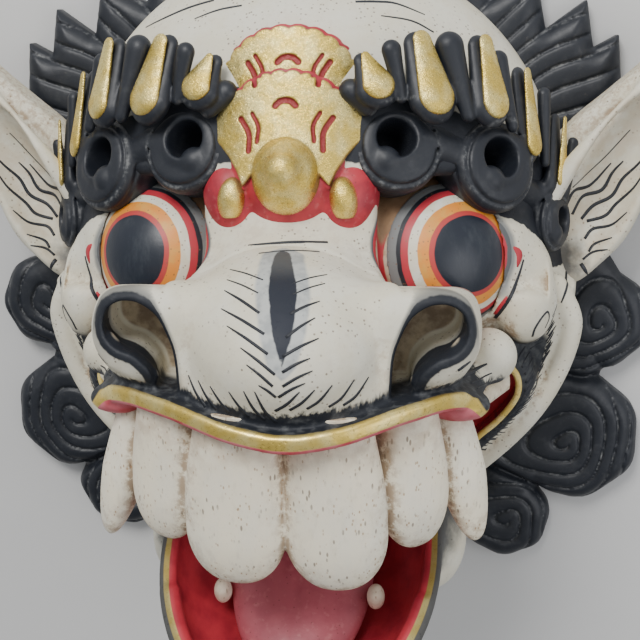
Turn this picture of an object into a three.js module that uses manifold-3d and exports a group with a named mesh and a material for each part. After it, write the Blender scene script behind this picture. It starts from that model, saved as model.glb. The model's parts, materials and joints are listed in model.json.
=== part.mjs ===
// A carved and painted wooden barong mask, lying on its back.
// Millimetres, +Z up. The face looks along +Z, the forehead points along +Y and X = 0 is the
// middle of the face. The flat back of the carving is the plane Z = 0.
import * as THREE from 'three';
import { mergeVertices } from 'three/addons/utils/BufferGeometryUtils.js';
import Module from 'manifold-3d';

const wasm = await Module();
wasm.setup();

// ---------- driving dimensions ----------
const GAP = 0.35;            // clearance between two separate pieces
const RIM_HEIGHT = 20;       // straight edge round the back of the face
const BOARD = 17;            // thickness of the mane boards
const HEAD = { half: 126, top: 160, wide: 40 };  // outline of the head at its back
const WALL = 19;             // thickness of the carved shell
const DETAIL = 0.58;         // share of the full facet count that the round forms keep

const LIP = { y: -46, thick: 9, reach: 203, end: 150, half: 89 };
const JAW_PIVOT = new THREE.Vector3(0, -95, 45);
const JAW_OPEN = THREE.MathUtils.degToRad(36.9);  // how far the jaw hangs below straight forward
const JAW = { half: 72, depth: 48, rim: 10, trough: 74, nose: 95, wall: 9 };
const TRUNNION = { radius: 6, from: 60, to: 84 };
const CHEEK = { inner: 78, front: 66 };

const EYE = { at: [79, 15, 90], radius: 34 };
const CURLS = [
  { at: [46, 68, 99], radius: 22 },
  { at: [87, 58, 80], radius: 22 },
  { at: [121, 27, 56], radius: 14 },
];

// ---------- materials ----------
function paint(color, roughness, metalness = 0) {
  return new THREE.MeshStandardMaterial({ color, roughness, metalness });
}
const whitePaint = paint(0xd8cfbd, 0.7);
const blackPaint = paint(0x23262b, 0.6);
const redPaint = paint(0xb3263a, 0.55);
const pinkPaint = paint(0xd9707c, 0.5);

// ---------- solids ----------
function solid(geometry) {
  const plain = geometry.clone();
  plain.deleteAttribute('normal');
  plain.deleteAttribute('uv');
  const merged = mergeVertices(plain, 1e-3);
  return new wasm.Manifold(new wasm.Mesh({
    numProp: 3,
    vertProperties: new Float32Array(merged.attributes.position.array),
    triVerts: new Uint32Array(merged.index.array),
  }));
}

function join(parts) {
  return parts.reduce((whole, part) => whole.add(part));
}

function cut(whole, tools) {
  return tools.reduce((rest, tool) => rest.subtract(tool), whole);
}

function place(geometry, at, turn = [0, 0, 0], size = [1, 1, 1]) {
  const matrix = new THREE.Matrix4().compose(
    new THREE.Vector3(...at),
    new THREE.Quaternion().setFromEuler(new THREE.Euler(...turn)),
    new THREE.Vector3(...size),
  );
  return geometry.applyMatrix4(matrix);
}

function roundForm(around, over) {
  return new THREE.SphereGeometry(1, Math.round(around * DETAIL), Math.round(over * DETAIL));
}

function egg(at, radii, turn = [0, 0, 0], around = 18, over = 12) {
  const ball = roundForm(around, over);
  ball.rotateX(Math.PI / 2);
  return solid(place(ball, at, turn, radii));
}

function block(low, high) {
  const size = high.map((value, i) => value - low[i]);
  const centre = high.map((value, i) => (value + low[i]) / 2);
  return solid(place(new THREE.BoxGeometry(...size), centre));
}

// A flat outline, given as [x, y] points, raised from one height to another.
function slab(points, low, high) {
  const shape = new THREE.Shape(points.map(([x, y]) => new THREE.Vector2(x, y)));
  const body = new THREE.ExtrudeGeometry(shape, { depth: high - low, bevelEnabled: false });
  return solid(body.translate(0, 0, low));
}

// The same part on both sides of the face: side is -1 for the left and 1 for the right.
function pair(make) {
  return [-1, 1].map((side) => make(side));
}

function smooth(points, steps, closed = false) {
  const curve = new THREE.SplineCurve(points.map(([x, y]) => new THREE.Vector2(x, y)));
  if (closed) curve.points.push(curve.points[0]);
  return curve.getPoints(steps).map((p) => [p.x, p.y]);
}

function finish(name, body, material) {
  const made = body.getMesh();
  const geometry = new THREE.BufferGeometry();
  geometry.setAttribute('position', new THREE.BufferAttribute(made.vertProperties, 3));
  geometry.setIndex(new THREE.BufferAttribute(made.triVerts, 1));
  geometry.computeVertexNormals();
  const mesh = new THREE.Mesh(geometry, material);
  mesh.name = name;
  return mesh;
}

// ---------- head ----------
// Outline of the head where it lies on its back, grown outwards by a margin. Above the widest
// line it is a half ellipse, below it the cheeks run down to the tips beside the jaw.
function headOutline(margin) {
  const points = [];
  const steps = 28;
  for (let i = 0; i <= steps; i += 1) {
    const angle = Math.PI * (i / steps);
    const x = (HEAD.half + margin) * Math.cos(angle);
    const y = HEAD.wide + (HEAD.top - HEAD.wide + margin) * Math.sin(angle);
    points.push([x, y]);
  }
  const leftCheek = [[-128, -10], [-119, -62], [-103, -98], [-90, -113]];
  for (const [x, y] of leftCheek) points.push([x - margin, y - margin * 0.5]);
  points.push([-CHEEK.inner + margin, -113 - margin]);
  points.push([-CHEEK.inner + margin, -60], [CHEEK.inner - margin, -60]);
  points.push([CHEEK.inner - margin, -113 - margin]);
  for (const [x, y] of leftCheek.toReversed()) points.push([-x + margin, y - margin * 0.5]);
  return points;
}

function skull() {
  return join([
    egg([0, 40, 20], [128, 122, 105], [0, 0, 0], 32, 20),
    egg([0, -12, 22], [137, 84, 86], [0, 0, 0], 28, 18),
  ]);
}

// Cheek that runs down beside the mouth, with the band that ends in a round tip.
function cheek(side) {
  const outline = [[64, -10], [CHEEK.inner, -60], [CHEEK.inner, -104], [84, -113], [94, -110],
    [108, -96], [123, -68], [134, -36], [137, -8]];
  const points = outline.map(([x, y]) => [x * side, y]);
  const wall = slab(side > 0 ? points : points.toReversed(), 0, CHEEK.front);
  const cove = egg([88 * side, -62, 84], [20, 22, 40]);
  return cut(wall, [cove]);
}

// ---------- muzzle ----------
function lipReach(x) {
  return LIP.reach - (LIP.reach - LIP.end) * (Math.abs(x) / LIP.half) ** 2;
}

// The lip dips in the middle, rises over the outer teeth and drops at its blunt ends.
function lipLift(x) {
  const t = Math.abs(x) / LIP.half;
  return 9 * Math.sin(Math.PI * Math.min(t, 1) ** 1.3) - 3 * t ** 4;
}

// A shelf in the plan of the lip, drawn in by inset, between two heights in Y.
function shelf(inset, low, high, lift) {
  const steps = 18;
  const half = LIP.half - inset;
  const points = [];
  for (let i = 0; i <= steps; i += 1) {
    const x = half * (1 - (2 * i) / steps);
    points.push([x, lipReach(x) - inset]);
  }
  for (let i = 0; i <= steps; i += 1) points.push([-half * (1 - (2 * i) / steps), 50]);
  const shape = new THREE.Shape(points.map(([x, z]) => new THREE.Vector2(x, z)));
  const body = new THREE.ExtrudeGeometry(shape, { depth: high - low, bevelEnabled: false });
  body.rotateX(Math.PI / 2);
  body.translate(0, high, 0);
  const position = body.attributes.position;
  if (lift) {
    for (let i = 0; i < position.count; i += 1) {
      position.setY(i, position.getY(i) + lipLift(position.getX(i)));
    }
  }
  return solid(body);
}

function muzzle() {
  return join([
    shelf(0, LIP.y, LIP.y + LIP.thick, true),
    shelf(13, LIP.y + 2, -22, false),
    egg([0, -12, 135], [50, 41, 70], [0, 0, 0], 24, 16),
    ...pair((side) => egg([60 * side, -7, 130], [28, 30, 47], [0, 0.2 * side, 0], 20, 14)),
    ...pair((side) => egg([93 * side, -30, 105], [15, 14, 18], [0, 0, 0], 14, 10)),
    ...pair((side) => egg([106 * side, -14, 76], [22, 24, 26], [0, 0, 0], 14, 10)),
  ]);
}

function nostril(side) {
  return egg([62 * side, -6, 174], [17, 17, 32], [0, 0.25 * side, 0], 16, 12);
}

// ---------- teeth of the upper jaw ----------
// The six big teeth sit a little to one side of the middle, as they are carved.
const TEETH_SHIFT = 3;
const UPPER_TEETH = [
  { at: [21.5, -74, 177], radii: [21.5, 40, 13], turn: [0.1, 0.1, 0.03] },
  { at: [56, -70, 160], radii: [17, 34, 12], turn: [0.1, 0.5, 0.1] },
  { at: [78, -72, 138], radii: [11, 36, 11], turn: [0.05, 0.7, 0.28] },
];

function upperTeeth() {
  return UPPER_TEETH.flatMap(({ at: [x, y, z], radii, turn: [rx, ry, rz] }) => pair((side) => (
    egg([x * side + TEETH_SHIFT, y, z], radii, [rx, ry * side, rz * side], 14, 12)
  )));
}

// ---------- eyes ----------
function eye(side) {
  const socket = egg([80 * side, 15, 76], [44, 43, 33], [0, 0.25 * side, 0], 22, 14);
  const ball = egg([EYE.at[0] * side, EYE.at[1], EYE.at[2]], Array(3).fill(EYE.radius), [0, 0, 0], 24, 16);
  return join([socket, ball]);
}

// ---------- brow ----------
// A snail curl: a round boss with a deep hole and a bead rolled up in its lower half.
function curl({ at: [x, y, z], radius }, side) {
  const boss = egg([x * side, y, z], [radius, radius, radius], [0, 0, 0], 16, 12);
  const hole = egg([x * side, y + radius * 0.2, z + radius * 0.95],
    [radius * 0.5, radius * 0.5, radius * 0.7], [0, 0, 0], 12, 8);
  const bead = egg([(x - radius * 0.2) * side, y - radius * 0.3, z + radius * 0.62],
    [radius * 0.38, radius * 0.38, radius * 0.38], [0, 0, 0], 10, 8);
  return cut(boss, [hole]).add(bead);
}

const PLUME_ROOTS = new THREE.CatmullRomCurve3([
  new THREE.Vector3(36, 86, 112), new THREE.Vector3(70, 82, 104),
  new THREE.Vector3(101, 71, 84), new THREE.Vector3(125, 40, 52),
]);
const PLUME_TIPS = new THREE.CatmullRomCurve3([
  new THREE.Vector3(34, 113, 106), new THREE.Vector3(62, 118, 96),
  new THREE.Vector3(93, 110, 78), new THREE.Vector3(127, 78, 46),
]);
const PLUME_COUNT = 10;

// Plumes stand side by side above the curls, from the crown to the ear.
function plumes(side) {
  const parts = [];
  for (let i = 0; i < PLUME_COUNT; i += 1) {
    const along = (i + 0.5) / PLUME_COUNT;
    const root = PLUME_ROOTS.getPoint(along);
    const tip = PLUME_TIPS.getPoint(along);
    const middle = root.clone().add(tip).multiplyScalar(0.5);
    const lean = Math.atan2(root.x - tip.x, tip.y - root.y);
    const length = root.distanceTo(tip) / 2 + 5;
    parts.push(egg([middle.x * side, middle.y, middle.z - 3], [6.2, length, 8],
      [-0.3, 0, lean * side], 8, 6));
  }
  return parts;
}

// A fan with a scalloped edge, standing on its narrow lower end.
function fan({ half, height, scallops, at, tilt, thick }) {
  const points = [[half * 0.72, 0]];
  for (let i = 0; i < scallops; i += 1) {
    for (let step = 0; step < 4; step += 1) {
      const t = (i + step / 4) / scallops;
      const angle = Math.PI * t;
      const bump = 1 + 0.09 * Math.sin((Math.PI * step) / 4);
      points.push([half * bump * Math.cos(angle), height * (0.35 + 0.65 * Math.sin(angle) * bump)]);
    }
  }
  points.push([-half, height * 0.35], [-half * 0.72, 0]);
  const plate = new THREE.ExtrudeGeometry(
    new THREE.Shape(points.map(([x, y]) => new THREE.Vector2(x, y))),
    { depth: thick, bevelEnabled: false },
  );
  return solid(place(plate, at, [-tilt, 0, 0]));
}

function crown() {
  return join([
    fan({ half: 34, height: 40, scallops: 7, at: [-1, 68, 112], tilt: 0.3, thick: 17 }),
    fan({ half: 30, height: 34, scallops: 7, at: [-1, 94, 98], tilt: 0.42, thick: 18 }),
    egg([0, 52, 104], [37, 27, 30], [0, 0, 0], 18, 12),
    egg([0, 60, 127], [15.5, 18, 17], [0, 0, 0], 16, 12),
    egg([0, 64, 142], [5, 5, 8], [0, 0, 0], 8, 8),
    ...pair((side) => egg([25 * side, 49, 122], [6, 9.5, 9], [0, 0, 0], 10, 8)),
  ]);
}

// The hollow carved from the back, and the mouth that opens into it.
function hollows() {
  return [
    egg([0, 36, -4], [HEAD.half - WALL, 103, 98], [0, 0, 0], 26, 18),
    egg([0, -12, -2], [108, 62, 88], [0, 0, 0], 22, 14),
    egg([0, -8, 70], [36, 25, 78], [0, 0, 0], 16, 12),
  ];
}

function hinge(grow) {
  const pin = new THREE.CylinderGeometry(
    TRUNNION.radius + grow, TRUNNION.radius + grow, 2 * (TRUNNION.to + grow), 16,
  );
  return solid(place(pin, JAW_PIVOT.toArray(), [0, 0, Math.PI / 2]));
}

function face() {
  const carved = join([
    skull(),
    ...pair(cheek),
    muzzle(),
    crown(),
    ...pair(eye),
    ...CURLS.flatMap((one) => pair((side) => curl(one, side))),
    ...pair((side) => join(plumes(side))),
  ]);
  const below = block([-200, -200, -200], [200, 260, 0]);
  const mouth = block([-CHEEK.inner, -140, -1], [CHEEK.inner, LIP.y - 3, 112]);
  const outsideRim = block([-220, -220, -1], [220, 260, RIM_HEIGHT])
    .subtract(slab(headOutline(0), -2, RIM_HEIGHT + 1));
  const open = cut(carved, [...hollows(), ...pair(nostril), below, mouth, outsideRim]);
  return cut(open.add(join(upperTeeth())), [hinge(0.4)]);
}

// ---------- lower jaw ----------
// Built pointing straight forward from its pivot, with s forward, then swung open.
function swing(geometry) {
  geometry.rotateX(JAW_OPEN);
  geometry.translate(...JAW_PIVOT.toArray());
  return geometry;
}

function jawEgg([x, n, s], radii, around = 18, over = 12) {
  const ball = roundForm(around, over);
  return solid(swing(place(ball, [x, n, s], [0, 0, 0], radii)));
}

// Half of an elliptical trough with a round nose, open at the top and the back.
function scoop(half, depth, nose) {
  const tube = new THREE.CylinderGeometry(1, 1, 1, 28);
  tube.rotateX(Math.PI / 2);
  const length = JAW.trough + 10;
  const trough = solid(swing(place(tube, [0, JAW.rim, JAW.trough - length / 2], [0, 0, 0],
    [half, depth, length])));
  return trough.add(jawEgg([0, JAW.rim, JAW.trough], [half, depth, nose], 28, 18));
}

function jawBlock(low, high) {
  const size = high.map((value, i) => value - low[i]);
  const centre = high.map((value, i) => (value + low[i]) / 2);
  return solid(swing(place(new THREE.BoxGeometry(...size), centre)));
}

// Short blunt teeth stand on the rim round the nose of the jaw.
function lowerTeeth() {
  const teeth = [];
  const middle = JAW.wall / 2;
  for (let i = -3; i <= 3; i += 1) {
    const angle = i * 0.31;
    const x = (JAW.half - middle) * Math.sin(angle);
    const s = JAW.trough + (JAW.nose - middle - 1) * Math.cos(angle);
    teeth.push(jawEgg([x, JAW.rim, s], [9.5, 12, 7], 12, 8));
  }
  return teeth;
}

function lowerJaw() {
  const { half, depth, nose, wall, rim } = JAW;
  const shell = scoop(half, depth, nose);
  const bowl = scoop(half - wall, depth - wall, nose - wall);
  const above = jawBlock([-120, rim, -60], [120, 140, 260]);
  const throat = jawBlock([-half + wall, -20, -30], [half - wall, 60, -9]);
  const trimmed = cut(shell, [above]).add(hingeBoss());
  return cut(trimmed, [bowl, throat]).add(join(lowerTeeth())).add(trunnions());
}

function hingeBoss() {
  const ring = new THREE.CylinderGeometry(13, 13, 2 * (CHEEK.inner - 0.5), 20);
  return solid(place(ring, JAW_PIVOT.toArray(), [0, 0, Math.PI / 2]));
}

function trunnions() {
  const middle = block([-TRUNNION.from, -200, -100], [TRUNNION.from, 100, 300]);
  return hinge(0).subtract(middle);
}

function tongue() {
  return join([
    jawEgg([0, -10.5, 74], [37, 12, 64], 20, 14),
    jawEgg([0, -8, 30], [29, 11, 34], 16, 12),
  ]);
}

// ---------- ears ----------
function ear(side) {
  const outline = smooth([[118, -2], [140, -12], [160, 10], [177, 50], [187, 88], [194, 122],
    [172, 108], [152, 92], [132, 84], [114, 60]], 26, true);
  const points = outline.map(([x, y]) => [x * side, y]);
  const leaf = slab(side > 0 ? points : points.toReversed(), BOARD + 1, 58);
  const cup = egg([156 * side, 48, 66], [22, 66, 30], [0, 0, -0.36 * side], 18, 14);
  const bevel = egg([140 * side, 40, 10], [60, 100, 47], [0, 0, -0.36 * side], 24, 16);
  return cut(leaf.intersect(bevel), [cup]);
}

// ---------- mane ----------
// Flames sweep up beside and above the head. Below the ears three round curls hang down.
function maneOutline(drop) {
  const flames = [
    [0, 172], [16, 176], [24, 160], [46, 172], [58, 152], [84, 161], [92, 138],
    [117, 148], [122, 121], [143, 136], [147, 111], [160, 118], [163, 84], [170, 62], [160, 30],
    [158, 4],
  ];
  const lobes = [
    { at: [156, -32], radius: 24, from: 1.35, to: -1.0 },
    { at: [149, -97 - drop * 0.3], radius: 32, from: 0.75, to: -1.25 },
    { at: [124, -146 - drop], radius: 25, from: -0.1, to: -3.5 },
  ];
  const points = [...flames];
  for (const { at: [x, y], radius, from, to } of lobes) {
    for (let i = 0; i <= 9; i += 1) {
      const angle = from + ((to - from) * i) / 9;
      points.push([x + radius * Math.cos(angle), y + radius * Math.sin(angle)]);
    }
  }
  points.push([93, -106], [100, -60], [100, 40], [0, 130]);
  return points;
}

function mane(side, drop) {
  const points = maneOutline(drop).map(([x, y]) => [x * side, y]);
  const board = slab(side > 0 ? points.toReversed() : points, 0, BOARD);
  const middle = block([-GAP / 2, -300, -1], [GAP / 2, 300, BOARD + 1]);
  return cut(board, [slab(headOutline(GAP), -1, BOARD + 1), middle]);
}

// ---------- the mask ----------
const LEFT_DROP = 0;
const RIGHT_DROP = 14;

const head = face();

// The root of an ear is cut to sit against the side of the head with a small clearance.
function seat(body, side) {
  const moves = [[0, 0, 0], [GAP, 0, GAP], [GAP, GAP, 0], [GAP, -GAP, 0]];
  return cut(body, moves.map(([x, y, z]) => head.translate([x * side, y, z])));
}

const mask = new THREE.Group();
mask.add(
  finish('face', head, whitePaint),
  finish('lower_jaw', lowerJaw(), redPaint),
  finish('tongue', tongue(), pinkPaint),
  finish('ear_left', seat(ear(-1), -1), whitePaint),
  finish('ear_right', seat(ear(1), 1), whitePaint),
  finish('mane_left', mane(-1, LEFT_DROP), blackPaint),
  finish('mane_right', mane(1, RIGHT_DROP), blackPaint),
);

// The origin is under the middle of the whole mask.
const bounds = new THREE.Box3().setFromObject(mask);
mask.position.y = -(bounds.min.y + bounds.max.y) / 2;
mask.updateMatrixWorld(true);

export default mask;
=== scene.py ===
"""A carved and painted wooden barong mask with a hinged jaw, lying on its back.

Shapes are sculpted as distance fields in millimetres, in the mask's own axes: x to the mask's
left ear, y up to the forehead, z out of the face. Every mesh is then moved into the frame.
"""
import json
import math

import bpy
import numpy as np
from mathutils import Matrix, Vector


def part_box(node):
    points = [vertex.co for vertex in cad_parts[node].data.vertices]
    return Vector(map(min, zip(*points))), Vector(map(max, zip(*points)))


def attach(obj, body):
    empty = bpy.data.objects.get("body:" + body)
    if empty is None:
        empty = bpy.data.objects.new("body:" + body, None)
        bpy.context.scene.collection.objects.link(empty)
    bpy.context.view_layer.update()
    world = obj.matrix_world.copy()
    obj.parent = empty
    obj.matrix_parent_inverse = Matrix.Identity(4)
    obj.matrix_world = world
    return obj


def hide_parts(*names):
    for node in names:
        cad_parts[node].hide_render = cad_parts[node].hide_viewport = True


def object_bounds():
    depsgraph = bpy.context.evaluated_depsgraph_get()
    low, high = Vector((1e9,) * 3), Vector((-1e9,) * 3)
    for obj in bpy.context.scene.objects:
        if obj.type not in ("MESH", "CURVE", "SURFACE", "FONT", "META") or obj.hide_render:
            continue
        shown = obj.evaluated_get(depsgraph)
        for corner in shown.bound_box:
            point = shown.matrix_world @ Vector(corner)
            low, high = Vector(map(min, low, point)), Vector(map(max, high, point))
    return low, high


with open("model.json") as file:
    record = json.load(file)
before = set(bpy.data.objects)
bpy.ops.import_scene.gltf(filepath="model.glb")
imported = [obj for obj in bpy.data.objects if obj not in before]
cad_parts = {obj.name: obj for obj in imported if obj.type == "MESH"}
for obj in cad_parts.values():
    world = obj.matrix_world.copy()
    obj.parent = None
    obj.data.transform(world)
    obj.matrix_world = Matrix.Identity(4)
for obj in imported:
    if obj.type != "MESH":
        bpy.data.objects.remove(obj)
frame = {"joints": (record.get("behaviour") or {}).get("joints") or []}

import openvdb
from mathutils import Matrix, Vector
from mathutils.bvhtree import BVHTree

CAD_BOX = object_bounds()

SIDES = ((1, "right"), (-1, "left"))    # the viewer's right is x above 0

# ---------- the frame ----------
HINGE = next(joint for joint in frame["joints"] if joint["name"] == "jaw_hinge")
PIVOT = (0.0, -95.0, 45.0)           # the jaw's pivot in the mask's own axes
FACE_WIDTH = 274.0                   # width of the carved face, the size that sets the scale
JAW_OPEN = math.radians(36.9)        # how far the jaw hangs below straight forward

face_low, face_high = (np.array(corner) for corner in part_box("face"))
MM = (face_high[0] - face_low[0]) / FACE_WIDTH
ORIGIN = np.array(HINGE["pos_m"]) - np.array(PIVOT) * MM


def to_frame(points):
    return np.asarray(points, float) * MM + ORIGIN


# ---------- small maths ----------
def smoothstep(low, high, value):
    t = np.clip((value - low) / (high - low), 0.0, 1.0)
    return t * t * (3.0 - 2.0 * t)


def curve(points, steps):
    """A smooth line through the points (Catmull-Rom), as an array of steps + 1 rows."""
    p = np.asarray(points, float)
    p = np.vstack([2 * p[0] - p[1], p, 2 * p[-1] - p[-2]])
    spans = len(p) - 3
    rows = []
    for u in np.linspace(0.0, spans, steps + 1):
        i = min(int(u), spans - 1)
        t = u - i
        a, b, c, d = p[i:i + 4]
        rows.append(0.5 * (2 * b + (c - a) * t + (2 * a - 5 * b + 4 * c - d) * t ** 2
                           + (3 * b - a - 3 * c + d) * t ** 3))
    return np.array(rows)


def cell_corners(f):
    """The eight corners of a cell, each with its weight at the place f in the cell."""
    for corner in range(8):
        step = np.array([corner & 1, (corner >> 1) & 1, corner >> 2])
        yield step, np.prod(np.where(step == 1, f, 1 - f), axis=1)


def value_noise(points, size, seed):
    """Smooth noise from -1 to 1 with features of the given size."""
    q = np.asarray(points, float) / size + 100.0 + seed * 17.3
    cell = np.floor(q).astype(np.int64)
    f = q - cell
    f = f * f * (3 - 2 * f)
    total = np.zeros(len(q))
    for step, weight in cell_corners(f):
        c = cell + step
        h = (c[:, 0] * 73856093) ^ (c[:, 1] * 19349663) ^ (c[:, 2] * 83492791) ^ (seed * 2654435)
        h = (h ^ (h >> 13)) * 1274126177
        total += ((h & 0xFFFF) / 32767.5 - 1.0) * weight
    return total


def unit(vector):
    vector = np.array(vector, float)
    return vector / np.linalg.norm(vector)


def turn_matrix(x=0.0, y=0.0, z=0.0):
    return np.array(Matrix.Rotation(z, 3, "Z") @ Matrix.Rotation(y, 3, "Y")
                    @ Matrix.Rotation(x, 3, "X"))


# ---------- distance forms ----------
class Form:
    """A solid given by its distance, negative inside, with the box that holds it."""

    def __init__(self, low, high, distance):
        self.low = np.array(low, float)
        self.high = np.array(high, float)
        self.distance = distance


def egg(centre, radii, turn=None):
    centre = np.array(centre, np.float32)
    radii = np.array(radii, np.float32)
    reach = np.full(3, radii.max()) if turn is not None else radii
    matrix = turn.T.astype(np.float32) if turn is not None else None

    def distance(x, y, z):
        u, v, w = x - centre[0], y - centre[1], z - centre[2]
        if matrix is not None:
            u, v, w = (m[0] * u + m[1] * v + m[2] * w for m in matrix)
        near = np.sqrt((u / radii[0]) ** 2 + (v / radii[1]) ** 2 + (w / radii[2]) ** 2)
        slope = np.sqrt((u / radii[0] ** 2) ** 2 + (v / radii[1] ** 2) ** 2
                        + (w / radii[2] ** 2) ** 2)
        return near * (near - 1.0) / np.maximum(slope, 1e-6)

    return Form(centre - reach, centre + reach, distance)


def rod(points, radii):
    """A round rod along points, its radius going from point to point."""
    points = np.asarray(points, np.float32)
    radii = np.broadcast_to(np.asarray(radii, np.float32), len(points))

    def distance(x, y, z):
        best = None
        for a, b, ra, rb in zip(points[:-1], points[1:], radii[:-1], radii[1:]):
            d = b - a
            length = float(d @ d) + 1e-9
            t = ((x - a[0]) * d[0] + (y - a[1]) * d[1] + (z - a[2]) * d[2]) / length
            t = np.clip(t, 0.0, 1.0)
            near = np.sqrt((x - a[0] - t * d[0]) ** 2 + (y - a[1] - t * d[1]) ** 2
                           + (z - a[2] - t * d[2]) ** 2) - (ra + (rb - ra) * t)
            best = near if best is None else np.minimum(best, near)
        return best

    r = radii.max()
    return Form(points.min(0) - r, points.max(0) + r, distance)


def leaf_rod(start, end, r_start, r_end, outward, flat):
    """A rod with round ends of two sizes, pressed flat along the outward direction."""
    a, b = np.array(start, float), np.array(end, float)
    e1 = (b - a) / np.linalg.norm(b - a)
    e3 = np.array(outward, float)
    e3 = e3 - (e3 @ e1) * e1
    e3 /= np.linalg.norm(e3)
    e2 = np.cross(e3, e1)
    length = float(np.linalg.norm(b - a))
    axes = np.array([e1, e2, e3], np.float32)

    def distance(x, y, z):
        u, v, w = ((x - a[0]) * m[0] + (y - a[1]) * m[1] + (z - a[2]) * m[2] for m in axes)
        t = np.clip(u / length, 0.0, 1.0)
        return (np.sqrt((u - t * length) ** 2 + v ** 2 + (w / flat) ** 2)
                - (r_start + (r_end - r_start) * t)) * flat ** 0.5

    r = max(r_start, r_end)
    return Form(np.minimum(a, b) - r, np.maximum(a, b) + r, distance)


def outline_distance(points, x, y):
    """Signed distance in a plane to a closed outline, negative inside."""
    best = np.full(np.broadcast(x, y).shape, 1e9, np.float32)
    inside = np.zeros(best.shape, bool)
    for (ax, ay), (bx, by) in zip(points, np.roll(points, -1, axis=0)):
        dx, dy = bx - ax, by - ay
        t = np.clip(((x - ax) * dx + (y - ay) * dy) / (dx * dx + dy * dy + 1e-9), 0.0, 1.0)
        best = np.minimum(best, (x - ax - t * dx) ** 2 + (y - ay - t * dy) ** 2)
        if ay != by:
            crossing = ((ay > y) != (by > y)) & (x < dx * (y - ay) / dy + ax)
            inside ^= crossing
    best = np.sqrt(best)
    return np.where(inside, -best, best)


def slab(points, low, high, soft=1.0):
    """An outline in x and y raised from z = low to z = high, with its edges rounded."""
    points = np.asarray(points, float)

    def distance(x, y, z):
        return rounded(outline_distance(points, x, y), np.maximum(z - high, low - z), soft)

    return Form([*points.min(0), low], [*points.max(0), high], distance)


def block(low, high):
    low, high = np.array(low, float), np.array(high, float)

    def distance(x, y, z):
        side = np.maximum(np.maximum(low[0] - x, x - high[0]), np.maximum(low[1] - y, y - high[1]))
        return np.maximum(side, np.maximum(low[2] - z, z - high[2]))

    return Form(low, high, distance)


def rounded(side, top, soft):
    """Distance to a plate from the distances to its outline and to its faces, edges rounded."""
    side, top = side + soft, top + soft
    outer = np.sqrt(np.maximum(side, 0) ** 2 + np.maximum(top, 0) ** 2)
    return outer + np.minimum(np.maximum(side, top), 0) - soft


def soft_min(a, b, blend):
    if blend <= 0:
        return np.minimum(a, b)
    h = np.clip(0.5 + 0.5 * (b - a) / blend, 0.0, 1.0)
    return b + (a - b) * h - blend * h * (1.0 - h)


# ---------- clay ----------
class Clay:
    """A block of samples that forms are added to and cut from. A mirrored block holds only the
    half on the side of x above 0."""

    FAR = 25.0

    def __init__(self, low, high, step, mirrored=True):
        self.step = step
        self.mirrored = mirrored
        low, high = np.array(low, float), np.array(high, float)
        if mirrored:
            low[0] = step / 2
        self.low = low
        count = np.ceil((high - low) / step).astype(int) + 1
        self.axes = [(low[i] + step * np.arange(count[i])).astype(np.float32) for i in range(3)]
        self.field = np.full(count, self.FAR, np.float32)

    def window(self, form, reach):
        """The slices of the block that a form can touch, and the coordinates in them."""
        first = np.floor((form.low - reach - self.low) / self.step).astype(int)
        last = np.ceil((form.high + reach - self.low) / self.step).astype(int) + 1
        first = np.maximum(first, 0)
        last = np.minimum(last, self.field.shape)
        cut = tuple(slice(a, b) for a, b in zip(first, last))
        if any(b <= a for a, b in zip(first, last)):
            return None, None
        x, y, z = (axis[s] for axis, s in zip(self.axes, cut))
        return cut, (x[:, None, None], y[None, :, None], z[None, None, :])

    def add(self, form, blend=0.0):
        cut, grid = self.window(form, max(blend, 8.0) + 2 * self.step)
        if cut:
            self.field[cut] = soft_min(self.field[cut], form.distance(*grid), blend)

    def cut(self, form, blend=0.0):
        cut, grid = self.window(form, blend + 3 * self.step)
        if cut:
            self.field[cut] = -soft_min(-self.field[cut], form.distance(*grid), blend)

    def full(self):
        """The samples on both sides and their lowest corner."""
        if not self.mirrored:
            return self.field, self.low
        whole = np.concatenate([self.field[::-1], self.field])
        low = self.low.copy()
        low[0] = -self.axes[0][-1]
        return whole, low

    def mesh(self):
        """Points and four-cornered faces of the clay's surface."""
        whole, low = self.full()
        limit = 3 * self.step
        grid = openvdb.FloatGrid(limit)
        grid.copyFromArray(np.ascontiguousarray(np.clip(whole, -limit, limit)), tolerance=0.0)
        points, triangles, quads = grid.convertToPolygons(isovalue=0.0, adaptivity=0.0)
        return points * self.step + low, quads

    def sample(self, points):
        """Distance to the surface at each point."""
        whole, low = self.full()
        q = (points - low) / self.step
        top = np.array(whole.shape) - 2
        cell = np.clip(np.floor(q).astype(int), 0, top)
        f = np.clip(q - cell, 0.0, 1.0)
        total = np.zeros(len(points))
        for step, weight in cell_corners(f):
            c = cell + step
            total += whole[c[:, 0], c[:, 1], c[:, 2]] * weight
        return total


# ---------- from clay to a piece ----------
STEP = 1.0


def lean(points):
    """The carver's hand: the snout leans a little to one side, and nothing is quite straight."""
    p = np.array(points, float)
    p[:, 0] += 7.0 * smoothstep(140.0, 210.0, p[:, 2])
    loose = smoothstep(0.0, 14.0, points[:, 2])
    for axis in range(3):
        p[:, axis] += 0.7 * value_noise(points, 46.0, 3 + axis) * loose
    p[:, 2] -= 0.9 * smoothstep(150.0, 205.0, points[:, 2])
    return p


def open_jaw(points):
    """From the jaw's own axes (x, up from its rim, forward) to the mask's axes."""
    p = np.asarray(points, float)
    c, s = math.cos(JAW_OPEN), math.sin(JAW_OPEN)
    return np.stack([p[:, 0] + PIVOT[0], p[:, 1] * c - p[:, 2] * s + PIVOT[1],
                     p[:, 1] * s + p[:, 2] * c + PIVOT[2]], axis=1)


def straight(points):
    return np.asarray(points, float)


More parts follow.
